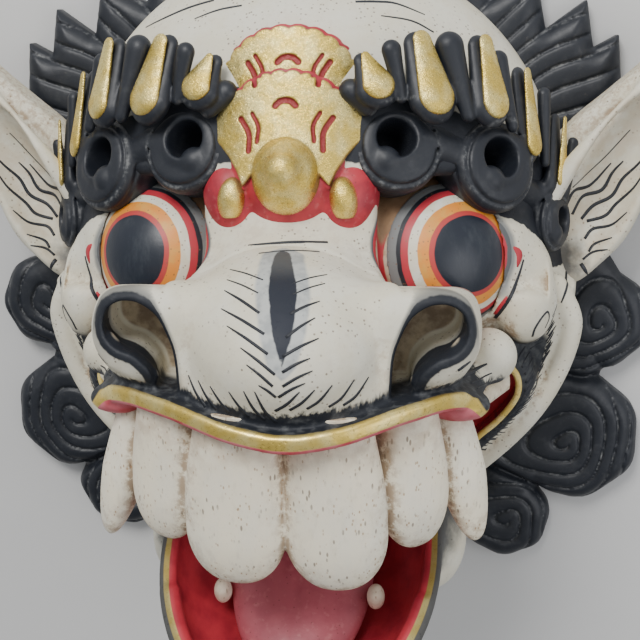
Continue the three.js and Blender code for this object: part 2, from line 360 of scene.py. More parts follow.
def make_mesh(name, points, faces):
    mesh = bpy.data.meshes.new(name)
    faces = np.asarray(faces)
    corners = faces.shape[1]
    mesh.vertices.add(len(points))
    mesh.vertices.foreach_set("co", np.asarray(points, np.float32).ravel())
    mesh.loops.add(faces.size)
    mesh.loops.foreach_set("vertex_index", faces.astype(np.int32).ravel())
    mesh.polygons.add(len(faces))
    mesh.polygons.foreach_set("loop_start", np.arange(0, faces.size, corners, dtype=np.int32))
    mesh.update(calc_edges=True)
    mesh.validate()
    return mesh


def read_vectors(mesh, kind):
    """The mesh's points ("co") or their normals ("normal"), one row each."""
    values = np.empty(len(mesh.vertices) * 3, np.float32)
    mesh.vertices.foreach_get(kind, values)
    return values.reshape(-1, 3).astype(float)


def thin_out(mesh, most):
    """Collapse the mesh to at most this many triangles."""
    count = 2 * len(mesh.polygons)          # every polygon here has four corners
    if count <= most:
        return mesh
    holder = place_object("holder", mesh)
    modifier = holder.modifiers.new("thin", "DECIMATE")
    modifier.ratio = most / count
    graph = bpy.context.evaluated_depsgraph_get()
    thinned = bpy.data.meshes.new_from_object(holder.evaluated_get(graph))
    bpy.data.objects.remove(holder)
    return thinned


def place_object(name, data):
    thing = bpy.data.objects.new(name, data)
    bpy.context.scene.collection.objects.link(thing)
    return thing


def add_piece(name, mesh, body, nodes, material):
    """Put a mesh in the scene and say which body it rides, which nodes it replaces."""
    mesh.shade_smooth()
    piece = place_object(name, mesh)
    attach(piece, body)
    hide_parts(*nodes)
    piece.data.materials.clear()
    piece.data.materials.append(material)
    return piece


def sculpted(name, clay, body, nodes, material, most, zones=None, bend=straight, flip=False):
    """Turn clay into a piece of at most so many triangles. zones(points) gives its paint as named
    values for each point, bend moves its points into the mask, and flip mirrors it."""
    points, faces = clay.mesh()
    mesh = thin_out(make_mesh(name, points, faces), most)
    rest = read_vectors(mesh, "co")
    values = zones(rest) if zones else {}
    # How closed in each point is; it drives dust, stained hollows and painted shade in the hollows.
    values["hollow_grime_and_shade"] = crevice(clay, mesh, rest)
    moved = bend(rest)
    if flip:
        moved = moved * (-1.0, 1.0, 1.0)
        mesh.flip_normals()
    mesh.vertices.foreach_set("co", to_frame(moved).astype(np.float32).ravel())
    for zone, value in values.items():
        layer = mesh.attributes.new(zone, "FLOAT", "POINT")
        layer.data.foreach_set("value", np.asarray(value, np.float32))
    mesh.update()
    mesh.name = name
    return add_piece(name, mesh, body, nodes, material)


def crevice(clay, mesh, points):
    """How closed in each point is: 0 in the open and 1 deep in a groove or a corner."""
    normals = read_vectors(mesh, "normal")
    total = np.zeros(len(points))
    for reach in (2.5, 7.0):
        open_space = clay.sample(points + normals * reach)
        total += np.clip(1.0 - open_space / reach, 0.0, 1.0)
    return total / 2


# ---------- materials ----------
class Nodes:
    """Short calls for a material's nodes."""

    def __init__(self, name):
        self.material = bpy.data.materials.new(name)
        self.material.use_nodes = True
        self.tree = self.material.node_tree
        self.shader = self.tree.nodes["Principled BSDF"]
        self.place = self.add("ShaderNodeTexCoord").outputs["Object"]

    def add(self, kind, **settings):
        node = self.tree.nodes.new(kind)
        for key, value in settings.items():
            setattr(node, key, value)
        return node

    def put(self, socket, value):
        if isinstance(value, bpy.types.NodeSocket):
            self.tree.links.new(value, socket)
        elif hasattr(socket.default_value, "__len__") and not hasattr(value, "__len__"):
            socket.default_value = [value] * len(socket.default_value)
        elif hasattr(value, "__len__") and len(value) == 3 and len(socket.default_value) == 4:
            socket.default_value = (*value, 1.0)
        else:
            socket.default_value = value

    def math(self, operation, *values, clamp=False):
        node = self.add("ShaderNodeMath", operation=operation, use_clamp=clamp)
        for socket, value in zip(node.inputs, values):
            self.put(socket, value)
        return node.outputs[0]

    def times(self, first, second):
        return self.math("MULTIPLY", first, second)

    def plus(self, first, second):
        return self.math("ADD", first, second)

    def minus(self, first, second):
        return self.math("SUBTRACT", first, second)

    def attribute(self, name):
        return self.add("ShaderNodeAttribute", attribute_name=name).outputs["Fac"]

    def zone(self, name, low, high):
        return self.step(self.attribute(name), low, high)

    def step(self, value, low, high):
        node = self.add("ShaderNodeMapRange", interpolation_type="SMOOTHSTEP")
        self.put(node.inputs["Value"], value)
        node.inputs["From Min"].default_value = low
        node.inputs["From Max"].default_value = high
        return node.outputs["Result"]

    def texture(self, kind, size_mm, stretch):
        """A texture node whose features are size_mm across."""
        mapping = self.add("ShaderNodeMapping")
        self.put(mapping.inputs["Vector"], self.place)
        mapping.inputs["Scale"].default_value = [s / (size_mm * MM) for s in stretch]
        node = self.add(kind)
        self.put(node.inputs["Vector"], mapping.outputs[0])
        node.inputs["Scale"].default_value = 1.0
        return node

    def noise(self, size_mm, detail=3.0, rough=0.55, stretch=(1, 1, 1)):
        node = self.texture("ShaderNodeTexNoise", size_mm, stretch)
        node.inputs["Detail"].default_value = detail
        node.inputs["Roughness"].default_value = rough
        return node.outputs["Fac"]

    def patches(self, low, high, *noise):
        """1 where a noise is above high, 0 where it is below low."""
        return self.step(self.noise(*noise), low, high)

    def waver(self, value, amount, *noise):
        """The value moved up and down by a noise, for an uneven painted edge."""
        return self.plus(value, self.times(self.minus(self.noise(*noise), 0.5), amount))

    def specks(self, size_mm, share, stretch=(1, 1, 1)):
        """Small dots: 1 inside a dot. share is the part of the cells' size that a dot takes."""
        node = self.texture("ShaderNodeTexVoronoi", size_mm, stretch)
        return self.step(node.outputs["Distance"], share, share * 0.6)

    def mix(self, amount, first, second):
        node = self.add("ShaderNodeMix", data_type="RGBA")
        self.put(node.inputs[0], amount)
        self.put(node.inputs[6], first)
        self.put(node.inputs[7], second)
        return node.outputs[2]

    def tint(self, colour, mask, strength, paint):
        """The colour with some paint over it where the mask is 1."""
        return self.mix(self.times(mask, strength), colour, paint)

    def blend(self, amount, first, second):
        node = self.add("ShaderNodeMix", data_type="FLOAT")
        self.put(node.inputs[0], amount)
        self.put(node.inputs[2], first)
        self.put(node.inputs[3], second)
        return node.outputs[0]

    def finish(self, colour, roughness, metallic=0.0, bumps=(), coat=0.0):
        self.put(self.shader.inputs["Base Color"], colour)
        self.put(self.shader.inputs["Roughness"], roughness)
        self.put(self.shader.inputs["Metallic"], metallic)
        self.shader.inputs["Coat Weight"].default_value = coat
        self.shader.inputs["Coat Roughness"].default_value = 0.35
        normal = None
        for height, distance_mm, strength in bumps:
            bump = self.add("ShaderNodeBump")
            bump.inputs["Strength"].default_value = strength
            bump.inputs["Distance"].default_value = distance_mm * MM
            self.put(bump.inputs["Height"], height)
            if normal:
                self.put(bump.inputs["Normal"], normal)
            normal = bump.outputs[0]
        if normal:
            self.put(self.shader.inputs["Normal"], normal)
        return self.material


CREAM = (0.725, 0.68, 0.535)
BONE = (0.79, 0.78, 0.69)
STAIN_AND_SHADE_BROWN = (0.31, 0.19, 0.10)
BLACK = (0.011, 0.014, 0.021)
WORN = (0.10, 0.105, 0.11)
GREY = (0.19, 0.20, 0.20)
RED = (0.49, 0.032, 0.048)
PINK = (0.62, 0.17, 0.20)
ORANGE = (0.78, 0.27, 0.03)
GOLD = (0.78, 0.57, 0.13)
GOLD_DARK = (0.20, 0.11, 0.03)


def ragged(n, zone, soft=0.25, wobble=0.8, size=2.5):
    """1 inside a painted zone (distance below 0), with a brushed, slightly uneven edge."""
    return n.step(n.waver(n.attribute(zone), wobble, size, 2.0), soft, -soft)


def cream_paint(n, base=CREAM, streak=(1, 1, 1)):
    """Old chalky paint: pale patches, brown in the hollows that is partly stained and partly painted
    shade, fine dark pits.
    """
    patches = n.patches(0.35, 0.68, 22, 4.0, 0.6, streak)
    colour = n.mix(n.times(patches, 0.55), base, BONE)
    fine = n.noise(3.2, 4.0, 0.65, streak)
    colour = n.tint(colour, n.step(fine, 0.5, 0.75), 0.25, (0.52, 0.45, 0.34))
    # Brown in the hollows, patchy: partly staining, partly painted shade.
    hollow_stain_and_shade = n.times(n.attribute("hollow_grime_and_shade"), n.patches(0.3, 0.62, 6, 4.0, 0.7))
    colour = n.tint(colour, n.step(hollow_stain_and_shade, 0.14, 0.70), 0.75, STAIN_AND_SHADE_BROWN)
    pits = n.times(n.specks(2.6, 0.24, streak), n.patches(0.42, 0.62, 14, 2.0))
    colour = n.tint(colour, pits, 0.75, (0.16, 0.11, 0.07))
    return colour, pits, fine


def gold_leaf(n):
    """Leaf gold over a red-brown ground, with crackle, rubbed dark spots and a fine grain."""
    grain = n.noise(1.3, 5.0, 0.8)
    wear = n.patches(0.60, 0.74, 5.5, 5.0, 0.75)
    specks = n.step(grain, 0.56, 0.64)
    colour = n.mix(n.patches(0.38, 0.66, 11, 3.0), GOLD, (0.92, 0.76, 0.30))
    colour = n.mix(n.math("MAXIMUM", n.times(wear, 0.6),
                          n.times(specks, 0.62)), colour, GOLD_DARK)
    # Painted shade: the gold darkens in the hollows.
    colour = n.tint(colour, n.attribute("hollow_grime_and_shade"), 0.7, GOLD_DARK)
    return colour, grain


def black_paint(n):
    """Blue-black paint, rubbed grey on the high spots."""
    rub = n.patches(0.50, 0.80, 7, 5.0, 0.7)
    colour = n.mix(n.times(rub, 0.25), BLACK, WORN)
    dust = n.times(n.patches(0.60, 0.78, 2.2, 4.0, 0.75), n.attribute("hollow_grime_and_shade"))
    return n.mix(n.times(dust, 0.5), colour, (0.25, 0.22, 0.18))


# ---------- the carved face ----------
EYE = (62.5, 12.0, 76.0)
EYE_RADIUS = 42.0
EYE_LIFT = 12.0                      # degrees that the eyes look up
EYE_TURNS = {"right": 33, "left": 24}    # degrees that each eye looks outward
SEAT_TURN = 28.65                    # between the two, for the seats that both sides share
LIP_HALF = 89.0
NOSTRIL = curve([(47, -30), (47.5, -13), (50, -3), (54.6, 6), (62, 11), (69.7, 11.5), (75.6, 8.5),
                 (78.5, 3), (78, -4), (73.5, -9), (66, -11.8), (61, -16), (58, -21), (56.5, -30)],
                52)[:, :2]
WING = curve([(44, -24), (44, 4), (49, 13), (58, 17.5), (67, 18.5), (76, 15.5), (82, 7), (82.8, -6),
              (77.5, -16), (67, -22.5), (57, -25)], 40)[:, :2]
BAND = curve([(127, -7, 57), (134, -20, 57), (135, -31, 57), (129.5, -51, 58), (119.5, -71, 59),
              (106, -88, 60), (91, -103, 60), (82, -111, 60)], 24)
GUM = curve([(99, -47, 78), (104.5, -45, 78), (108.6, -51, 78), (108, -60, 78), (100, -72, 77),
             (90, -82, 76), (81, -92.5, 74), (74, -103, 72)], 28)
GULLET = np.vstack([GUM[:, :2], [(60, -112), (56, -60), (70, -50)]])
CHEEK = [(64, -10), (78, -60), (78, -104), (84, -113), (94, -110), (108, -96), (123, -68),
         (134, -36), (137, -8)]


def through(x, stops):
    """A smooth value at x through (x, value) stops."""
    line = curve(stops, 60)
    return np.interp(x, line[:, 0], line[:, 1])


def lip_height(x):
    return through(x, [(0, -38.3), (7, -38), (26, -35), (38, -32.3), (49, -30.3), (60, -29.6),
                       (70, -29.6), (80, -31.8), (86, -36), (91, -43)])


def lip_reach(x):
    return 203.0 - 53.0 * (x / LIP_HALF) ** 2


def lip_form(inset, top, thick, soft):
    """A shelf that follows the lip's outline, its upper face at top over the lip's own height."""
    def distance(x, y, z):
        ax = np.abs(x)
        slope = 106.0 * ax / LIP_HALF ** 2
        front = (z - lip_reach(ax) + inset) / np.sqrt(1 + slope ** 2)
        side = -soft_min(-front, LIP_HALF - inset - ax, 12.0)
        middle = lip_height(ax) + top - thick / 2
        return rounded(side, np.abs(y - middle) - thick / 2, soft)

    return Form((0, -52, 95), (LIP_HALF - inset, 0, 204 - inset), distance)


def head_outline():
    arc = np.linspace(0, np.pi, 50)
    top = np.stack([126 * np.cos(arc), 40 + 120 * np.sin(arc)], axis=1)
    left = [(-128, -10), (-119, -62), (-103, -98), (-90, -113)]
    right = [(90, -113), (103, -98), (119, -62), (128, -10)]
    return np.vstack([top, left, right])


def clear_eye(clay):
    """Cut the snout down behind its wings, so that the eyes stand clear above it."""
    def above(x, y, z):
        slope = (18.0 - (166.0 - z) * 0.25 - y) * 0.97
        return np.maximum(np.maximum(slope, 37.0 - x + 0.25 * (z - 100)), np.maximum(y - 56.0, 78.0 - z))

    clay.cut(Form((30, -20, 78), (110, 56, 168), above), 7.0)


def sight(side, turn, lift=EYE_LIFT):
    """A direction turned outward and lifted, both in degrees."""
    turn, lift = math.radians(turn), math.radians(lift)
    return np.array([side * math.sin(turn) * math.cos(lift), math.sin(lift),
                     math.cos(turn) * math.cos(lift)])


def past(eye, axis, x, y, z):
    """How far points lie in front of the eye's middle."""
    return (x - eye[0]) * axis[0] + (y - eye[1]) * axis[1] + (z - eye[2]) * axis[2]


def seat_eye(clay):
    """A shallow seat for the separate eyeball, and the ball's own ground behind it."""
    ball, axis = egg(EYE, (EYE_RADIUS + 0.5,) * 3), sight(1, SEAT_TURN)

    def cap(x, y, z):
        return np.maximum(ball.distance(x, y, z), 23.0 - past(EYE, axis, x, y, z))

    clay.cut(Form(ball.low, ball.high, cap), 1.0)
    clay.add(egg(EYE, (EYE_RADIUS - 0.8,) * 3), 0)


def head_forms(clay):
    """The skull, the cheeks, the brow ridge and the base of the crown."""
    clay.add(egg((0, 40, 20), (128, 122, 105)))
    clay.add(egg((0, -12, 22), (137, 84, 86)), 20)
    clay.add(slab(CHEEK, -20, 62, 12), 16)
    clay.cut(egg((88, -64, 84), (20, 24, 34)), 4)
    clay.add(rod([(20, 78, 92), (42, 80, 94), (62, 76, 87), (88, 64, 72), (112, 46, 52), (124, 30, 38)],
                 [11, 11, 11, 10, 9, 8]), 9)
    clay.add(egg((0, 66, 94), (30, 40, 18)), 10)


def snout_forms(clay):
    """The snout with its saddle and wings, and the lobes between it and the cheeks."""
    clay.add(egg((0, -12, 135), (50, 41, 70)), 22)
    clay.add(lip_form(15, 9, 24, 8), 16)
    clay.add(egg((60, -9, 130), (28, 26, 46), turn_matrix(y=0.2)), 16)
    clay.add(slab(WING, 110, 175, 8), 9)
    clay.add(rod([(0, 4, 160), (30, 5, 160), (58, 6, 162)], 10), 12)
    clay.add(egg((109, -8, 80), (15, 23, 22), turn_matrix(z=0.15)), 6)
    clay.add(egg((93, -30, 106), (13.5, 13, 16)), 3)
    clay.add(egg((76, -38, 120), (16, 10, 22)), 6)


def eye_forms(clay):
    """Room for the eye, the lids round it and the seat it stands in."""
    clear_eye(clay)
    clay.add(egg((57, 14, 73), (41, 40, 40)), 7)
    clay.add(egg((76, 12, 72), (40, 38, 32)), 7)
    clay.add(rod([(104, 22, 66), (111, 6, 72), (113, -8, 74)], [8, 12, 12]), 10)
    seat_eye(clay)


def mouth_forms(clay):
    """Nostrils with a comma-shaped lobe, the upper lip, the moustache bands and the mouth's corners."""
    clay.cut(slab(NOSTRIL, 138, 220, 3), 2.5)
    clay.add(rod([(79, -8, 168), (73, -15, 170), (65, -19, 170), (59, -23, 168)], [5, 5.4, 5.2, 3.4]), 2)
    clay.add(lip_form(0, 0, 8.5, 2.6), 3)
    clay.add(egg((78, -42, 142), (15, 7, 15)), 4)
    clay.add(rod(BAND, np.linspace(7.0, 4.5, len(BAND))), 2)
    clay.add(rod(GUM - (0, 0, 11), 9.5), 6)
    clay.cut(slab(GULLET, 56, 140, 3), 1.0)
    clay.add(rod(GUM, 1.7), 0.5)


def hollow_out(clay):
    """The mouth, the throat and the hollow behind the face, then the flat back and its rim."""
    clay.cut(block((-78, -150, -10), (78, -50, 114)), 3)
    clay.cut(egg((0, -62, 112), (66, 12, 50)), 3)
    clay.cut(egg((0, 36, -4), (107, 103, 98)), 3)
    clay.cut(egg((0, -12, -2), (108, 62, 84)), 3)
    clay.cut(egg((0, -8, 70), (36, 25, 78)), 6)
    clay.cut(block((-200, -200, -40), (200, 300, 0.0)), 0)
    low_part = clay.axes[2] < 24
    x, y = clay.axes[0][:, None], clay.axes[1][None, :]
    flare = 3.0 * smoothstep(4, 24, clay.axes[2][low_part])
    side = outline_distance(head_outline(), x, y)[:, :, None] - flare
    clay.field[:, :, low_part] = np.maximum(clay.field[:, :, low_part], side)


def face_clay():
    clay = Clay((0, -124, -2.5), (146, 180, 216), STEP)
    head_forms(clay)
    snout_forms(clay)
    eye_forms(clay)
    for curl in CURLS:
        clay.cut(curl_hole(*curl), 2)
    mouth_forms(clay)
    hollow_out(clay)
    return clay


def gaze(points, side, turn, lift):
    """Angle in degrees between a point seen from the eye's middle and a line of sight."""
    v = points - np.array(EYE) * (side, 1, 1)
    near = v @ sight(side, turn, lift) / np.linalg.norm(v, axis=1)
    return np.degrees(np.arccos(np.clip(near, -1, 1)))


def folded(points):
    """The points brought over to the side of x above 0."""
    return points * np.where(points[:, :1] < 0, (-1, 1, 1), (1, 1, 1))


def near_line(points, line):
    """Distance to a line through the given points."""
    best = np.full(len(points), 1e9)
    for a, b in zip(line[:-1], line[1:]):
        d = b - a
        t = np.clip((points - a) @ d / (d @ d), 0, 1)
        best = np.minimum(best, np.linalg.norm(points - a - t[:, None] * d, axis=1))
    return best


def face_zones(p):
    half = folded(p)
    ax, y, z = half.T
    zones = {}
    stripe = np.where(p[:, 0] < 0, gaze(p, -1, 10, 10), gaze(p, 1, 13, 10))
    reach = np.linalg.norm(half - np.array(EYE), axis=1)
    zones["stripe"] = stripe + 3.0 * np.maximum(reach - 50.0, 0)
    plan = outline_distance(NOSTRIL, ax, y)
    thin = 1.0 + 1.8 * smoothstep(57, 48, ax)
    rim = np.where(plan > 0, plan * thin, plan) + 0.5 * np.maximum(166 - z, 0) * (plan > -1)
    zones["nostril"] = rim
    zones["lip_front"] = z - lip_reach(ax) - 6.0 * np.maximum(ax - 98, 0)
    zones["lip_top"] = y - lip_height(ax)
    zones["lip_paint"] = 4.4 + 3.6 * smoothstep(44, 12, ax) + 2.0 * smoothstep(66, 84, ax)
    zones["brow"] = near_line(half, curve([(22, 78, 104), (42, 76, 102), (62, 69, 96), (88, 56, 82),
                                           (112, 38, 62), (125, 22, 46)], 14)) - 21
    zones["gold_line"] = near_line(half, GUM) - 2.0
    zones["gullet"] = outline_distance(GULLET, ax, y)
    zones["mouth"] = np.maximum(np.minimum(zones["gullet"], ax - 72), y + 46)
    band_in = np.interp(y, [-108, -99, -84, -67, -48, -29, -13], [78, 85, 98, 112, 121, 125, 123])
    zones["gum"] = np.maximum(ax - band_in, y + 22)
    shell = egg((0, 40, 20), (120, 114, 97)).distance(p[:, 0], y, z)
    lower = egg((0, -12, 22), (124, 74, 78)).distance(p[:, 0], y, z)
    zones["back"] = smoothstep(1.0, -1.0, np.minimum(shell, lower)) * (y > -46)
    for curl in CURLS:
        hole = curl_hole(*curl).distance(ax, y, z)
        zones["back"] = zones["back"] * (hole > 2.5)
        zones["brow"] = np.where(hole < 2.5, -6.0, zones["brow"])
    half_width = through(y, [(-8, 0), (-2, 1.9), (4, 3.7), (13, 5.3), (19, 6), (24, 5), (29, 3.2)])
    beyond = np.maximum(y - 27.5, 0) + np.maximum(-8 - y, 0)
    zones["spindle"] = np.abs(p[:, 0] - 1.0) - half_width + beyond + np.maximum(148 - z, 0)
    zones["height"] = y
    zones["depth"] = z
    return zones


def eye_stripes(n, colour):
    """Grey, black, red and tan stripes round the eyes."""
    stripe = n.waver(n.attribute("stripe"), 2.4, 9, 2.0)
    tan = n.mix(n.patches(0.4, 0.65, 5, 3.0), (0.60, 0.52, 0.38), (0.46, 0.36, 0.23))
    dark = n.mix(0.5, BLACK, GREY)
    colour = n.tint(colour, n.step(stripe, 56.0, 52.0), 0.9, GREY)
    colour = n.mix(n.step(stripe, 51.5, 50.6), colour, dark)
    colour = n.mix(n.step(stripe, 48.6, 47.8), colour, RED)
    colour = n.mix(n.step(stripe, 41.6, 40.6), colour, tan)
    colour = n.mix(n.step(stripe, 33.0, 32.0), colour, GREY)
    return colour


def snout_blade(n, colour):
    """The blade-shaped dark stripe down the snout, with a pale halo."""
    spindle = n.waver(n.attribute("spindle"), 1.0, 5, 2.0)
    halo = n.mix(n.patches(0.4, 0.65, 6, 3.0), (0.42, 0.45, 0.46), (0.26, 0.29, 0.32))
    colour = n.tint(colour, n.step(spindle, 6.6, 4.6), 0.8, halo)
    navy = n.mix(n.zone("height", 21, 27), (0.010, 0.014, 0.026), (0.07, 0.075, 0.08))
    colour = n.mix(n.step(spindle, 0.4, -0.4), colour, navy)
    return colour


def nostril_paint(n, colour):
    """The burnt inside of the nostrils, then their black rims with a grey edge."""
    rim = n.attribute("nostril")
    inner = n.step(rim, -1.0, -2.4)
    burnt = n.mix(n.patches(0.35, 0.62, 9, 4.0), (0.56, 0.44, 0.28), (0.17, 0.09, 0.045))
    colour = n.tint(colour, inner, 0.8, burnt)
    over = n.zone("height", -14, 4)
    forward = n.zone("depth", 150, 156)
    halo = n.times(n.times(n.step(rim, 9.5, 4.5), n.step(rim, -2.0, -0.6)), forward)
    colour = n.mix(n.times(halo, n.plus(n.times(over, 0.5), 0.35)),
                   colour, (0.13, 0.135, 0.135))
    line = n.times(n.step(n.waver(rim, 1.0, 3.0, 2.0), 4.7, 3.7), n.step(rim, -2.2, -1.4))
    line = n.times(line, forward)
    colour = n.mix(line, colour, black_paint(n))
    return colour


def lip_paint(n, colour, gold):
    """The lip's black top, pink underside and gold front edge. Also says where the gold is."""
    front, top = n.attribute("lip_front"), n.attribute("lip_top")
    rise = n.minus(top, n.attribute("lip_paint"))
    strokes = n.times(n.minus(n.noise(2.2, 3.0, 0.6, (1, 0.25, 1)), 0.5), 9.0)
    near_top = n.times(n.step(n.plus(rise, strokes), 1.4, -1.4), n.step(top, -6.4, -5.6))
    shelf = n.times(n.step(front, -40.0, -30.0), near_top)
    colour = n.mix(shelf, colour, n.mix(n.patches(0.45, 0.75, 5, 4.0), BLACK, (0.09, 0.095, 0.10)))
    under = n.times(n.step(top, -5.6, -6.4), n.step(front, -80.0, -79.0))
    colour = n.mix(n.times(under, n.zone("depth", 96, 100)), colour,
                   n.mix(n.patches(0.4, 0.7, 14, 3.0), PINK, RED))
    edge = n.times(n.step(n.plus(front, n.times(n.noise(5, 3.0), 2.0)), -2.6, -1.6),
                  n.times(n.step(top, -6.6, -6.0), n.step(top, 0.6, -0.8)))
    colour = n.mix(edge, colour, gold)
    return colour, edge


def mouth_paint(n, colour, gold):
    """Black gums, the crimson corners with their gold line, and the black ground of the brow."""
    gum = n.times(ragged(n, "gum", 0.8, 2.0), n.times(n.zone("gullet", 26.0, 20.0),
                                                                n.zone("depth", 96.0, 90.0)))
    colour = n.mix(gum, colour, n.mix(n.patches(0.4, 0.7, 4, 4.0), BLACK, (0.05, 0.055, 0.058)))
    crimson = n.mix(n.patches(0.4, 0.65, 16, 3.0), (0.70, 0.05, 0.075), RED)
    colour = n.mix(ragged(n, "mouth"), colour, crimson)
    colour = n.mix(n.zone("gold_line", 0.4, 0.0), colour, gold)
    colour = n.mix(ragged(n, "brow", 0.4, 3.0, 4.0), colour, black_paint(n))
    return colour


def face_material():
    n = Nodes("white_paint")
    colour, pits, fine = cream_paint(n)
    colour = nostril_paint(n, snout_blade(n, eye_stripes(n, colour)))
    gold, grain = gold_leaf(n)
    colour, edge = lip_paint(n, colour, gold)
    colour = mouth_paint(n, colour, gold)
    wood_grain = n.noise(3.0, 5.0, 0.6, (1, 0.12, 1))
    wood = n.mix(wood_grain, (0.20, 0.115, 0.06), (0.42, 0.28, 0.16))
    colour = n.mix(n.attribute("back"), colour, wood)
    metal = n.times(edge, 0.75)
    rough = n.blend(edge, n.blend(n.noise(8, 3.0), 0.55, 0.72), 0.36)
    tool = n.noise(9, 2.0, 0.4)
    return n.finish(colour, rough, metal, [(tool, 1.2, 0.25), (n.minus(fine, pits), 0.35, 0.35)])


# ---------- eyes ----------
def eye_zones(side, turn):
    def zones(p):
        return {"ring": gaze(p, side, turn, EYE_LIFT)}
    return zones


def eye_clay(side, turn):
    eye = np.array(EYE) * (side, 1, 1)
    axis = sight(side, turn)
    clay = Clay(eye - 44, eye + 44, STEP * 0.8, mirrored=False)
    clay.add(egg(eye, (EYE_RADIUS,) * 3))

    def behind(x, y, z):
        return past(eye, axis, x, y, z) - 22.0

    clay.cut(Form(eye - 46, eye + 46, behind), 0.5)
    return clay


def eye_material():
    n = Nodes("eye_paint")
    ring = n.waver(n.attribute("ring"), 1.6, 12, 2.0)
    pupil = n.mix(n.patches(0.45, 0.75, 7, 5.0, 0.7, (1, 0.3, 1)),
                  (0.010, 0.015, 0.026), (0.030, 0.037, 0.048))
    orange = n.mix(n.patches(0.4, 0.7, 6, 3.0), ORANGE, (0.72, 0.34, 0.06))
    bone = n.mix(n.patches(0.4, 0.7, 8, 3.0), CREAM, BONE)
    colour = GREY
    for edge, ring_colour in ((51.0, BLACK), (48.0, RED), (43.0, bone), (37.0, orange),
                              (29.5, (0.50, 0.05, 0.045)), (26.0, pupil)):
        colour = n.mix(n.step(ring, edge + 0.35, edge - 0.35), colour, ring_colour)
    pits = n.specks(2.4, 0.22)
    pits = n.times(pits, n.step(ring, 26.0, 28.0))
    colour = n.tint(colour, pits, 0.6, (0.20, 0.10, 0.05))
    rough = n.blend(n.step(ring, 26.5, 25.5), 0.5, 0.38)
    return n.finish(colour, rough, 0.0,
                    [(n.noise(7, 2.0), 0.6, 0.2), (n.noise(0.8, 3.0), 0.15, 0.3)], coat=0.15)


# ---------- teeth ----------
# Each upper tooth: middle, half sizes, turns, and how round its tip is (1 is pointed, 2 is round).
TEETH = [((21.5, -77, 175), (24, 46, 12), (0.12, 0.06, 0.05), 2.0),
         ((-22.5, -76, 175), (23.5, 46, 12), (0.12, -0.08, -0.03), 2.0),
         ((57, -69, 159), (18, 38, 11), (0.12, 0.5, 0.14), 1.8),
         ((-55, -69, 159), (18.5, 38, 11), (0.12, -0.5, -0.12), 1.9),
         ((80, -73, 140), (12, 39, 10), (0.05, 0.7, 0.26), 1.25),
         ((-78, -74, 141), (11.5, 41, 10), (0.05, -0.7, -0.32), 1.3)]


def upper_teeth_clay():
    clay = Clay((-108, -128, 80), (104, -34, 204), STEP, mirrored=False)
    for place, radii, turn, point in TEETH:
        clay.add(blade(place, radii, turn, point), 0.6)
    for side in (-1, 1):
        corner = [(side * 66, -57, 126), (side * 84, -53, 108), (side * 101, -49, 88)]
        clay.add(rod(corner, [6.5, 6, 4.5]), 1)
    return clay


def blade(place, radii, turn, point):
    """A tooth: straight-sided above, flatter than an egg, and pointed or rounded below."""
    turned = turn_matrix(*turn)
    place, radii = np.array(place, float), np.array(radii, float)

    def distance(x, y, z):
        u, v, w = x - place[0], y - place[1], z - place[2]
        u, v, w = (m[0] * u + m[1] * v + m[2] * w for m in turned.T)
        low = np.minimum(v + radii[1] * 0.35 * (point - 1.0), 0.0)
        width = radii[0] * (1.0 - 0.22 * smoothstep(-0.1 * radii[1], radii[1], v))
        tip = np.abs(low / (radii[1] * (1.35 - 0.35 * point))) ** point
        near = (np.abs(u / width) ** 2.3 + np.abs(w / radii[2]) ** 2.1 + tip) ** 0.46
        return np.maximum((near - 1.0) * radii[2] * 0.9, (v - radii[1]) * 0.9)

    reach = radii.max() * 1.2
    return Form(place - reach, place + reach, distance)


def tooth_zones(p):
    return {"gumline": p[:, 1] + 50.0}


def lower_tooth_zones(p):
    return {"gumline": 8.0 - p[:, 1]}


def tooth_material():
    n = Nodes("tooth_paint")
    colour, pits, fine = cream_paint(n, (0.95, 0.865, 0.67), (1, 0.35, 1))
    long_pits = n.times(n.specks(1.9, 0.25, (1, 0.5, 1)), n.patches(0.40, 0.62, 12, 2.0))
    colour = n.tint(colour, long_pits, 0.8, (0.42, 0.25, 0.12))
    # Painted shade: blotchy brown darkening towards each tooth's gum line.
    gumline_shade = n.times(n.zone("gumline", -14, 4), n.patches(0.35, 0.65, 8, 4.0))
    colour = n.tint(colour, gumline_shade, 0.55, (0.50, 0.38, 0.26))
    return n.finish(colour, n.blend(fine, 0.5, 0.66), 0.0,
                    [(n.noise(8, 2.0), 0.8, 0.2), (n.minus(fine, long_pits), 0.4, 0.35)])


def ring(centre, axis, radius, thick, flat=1.0):
    """A torus round an axis through its centre."""
    centre, axis = np.array(centre, float), unit(axis)

    def distance(x, y, z):
        u, v, w = x - centre[0], y - centre[1], z - centre[2]
        along = u * axis[0] + v * axis[1] + w * axis[2]
        away = np.sqrt(np.maximum(u ** 2 + v ** 2 + w ** 2 - along ** 2, 0))
        return np.sqrt((away - radius) ** 2 + (along / flat) ** 2) - thick

    reach = radius + thick
    return Form(centre - reach, centre + reach, distance)


def scallop(points, bumps, depth):
    """A line with rounded bumps on its outer side."""
    line = curve(points, bumps * 8)[:, :2]
    along = np.gradient(line, axis=0)
    out = np.stack([along[:, 1], -along[:, 0]], axis=1)
    out /= np.linalg.norm(out, axis=1)[:, None]
    lift = depth * np.abs(np.sin(np.linspace(0, bumps * np.pi, len(line)))) ** 0.6
    return line + out * lift[:, None]


def both_sides(line):
    """A closed outline from its right half, which starts and ends on the middle line."""
    line = np.asarray(line, float)
    return np.vstack([line, line[::-1] * np.array([-1.0, 1.0])])


def on_plate(x, y, z, base, up, bend):
    """Height along a plate, and distance out of its bent middle."""
    up = unit(up)
    rise, out = y - base[1], z - base[2]
    return rise * up[1] + out * up[2], out * up[1] - rise * up[2] + bend * x ** 2


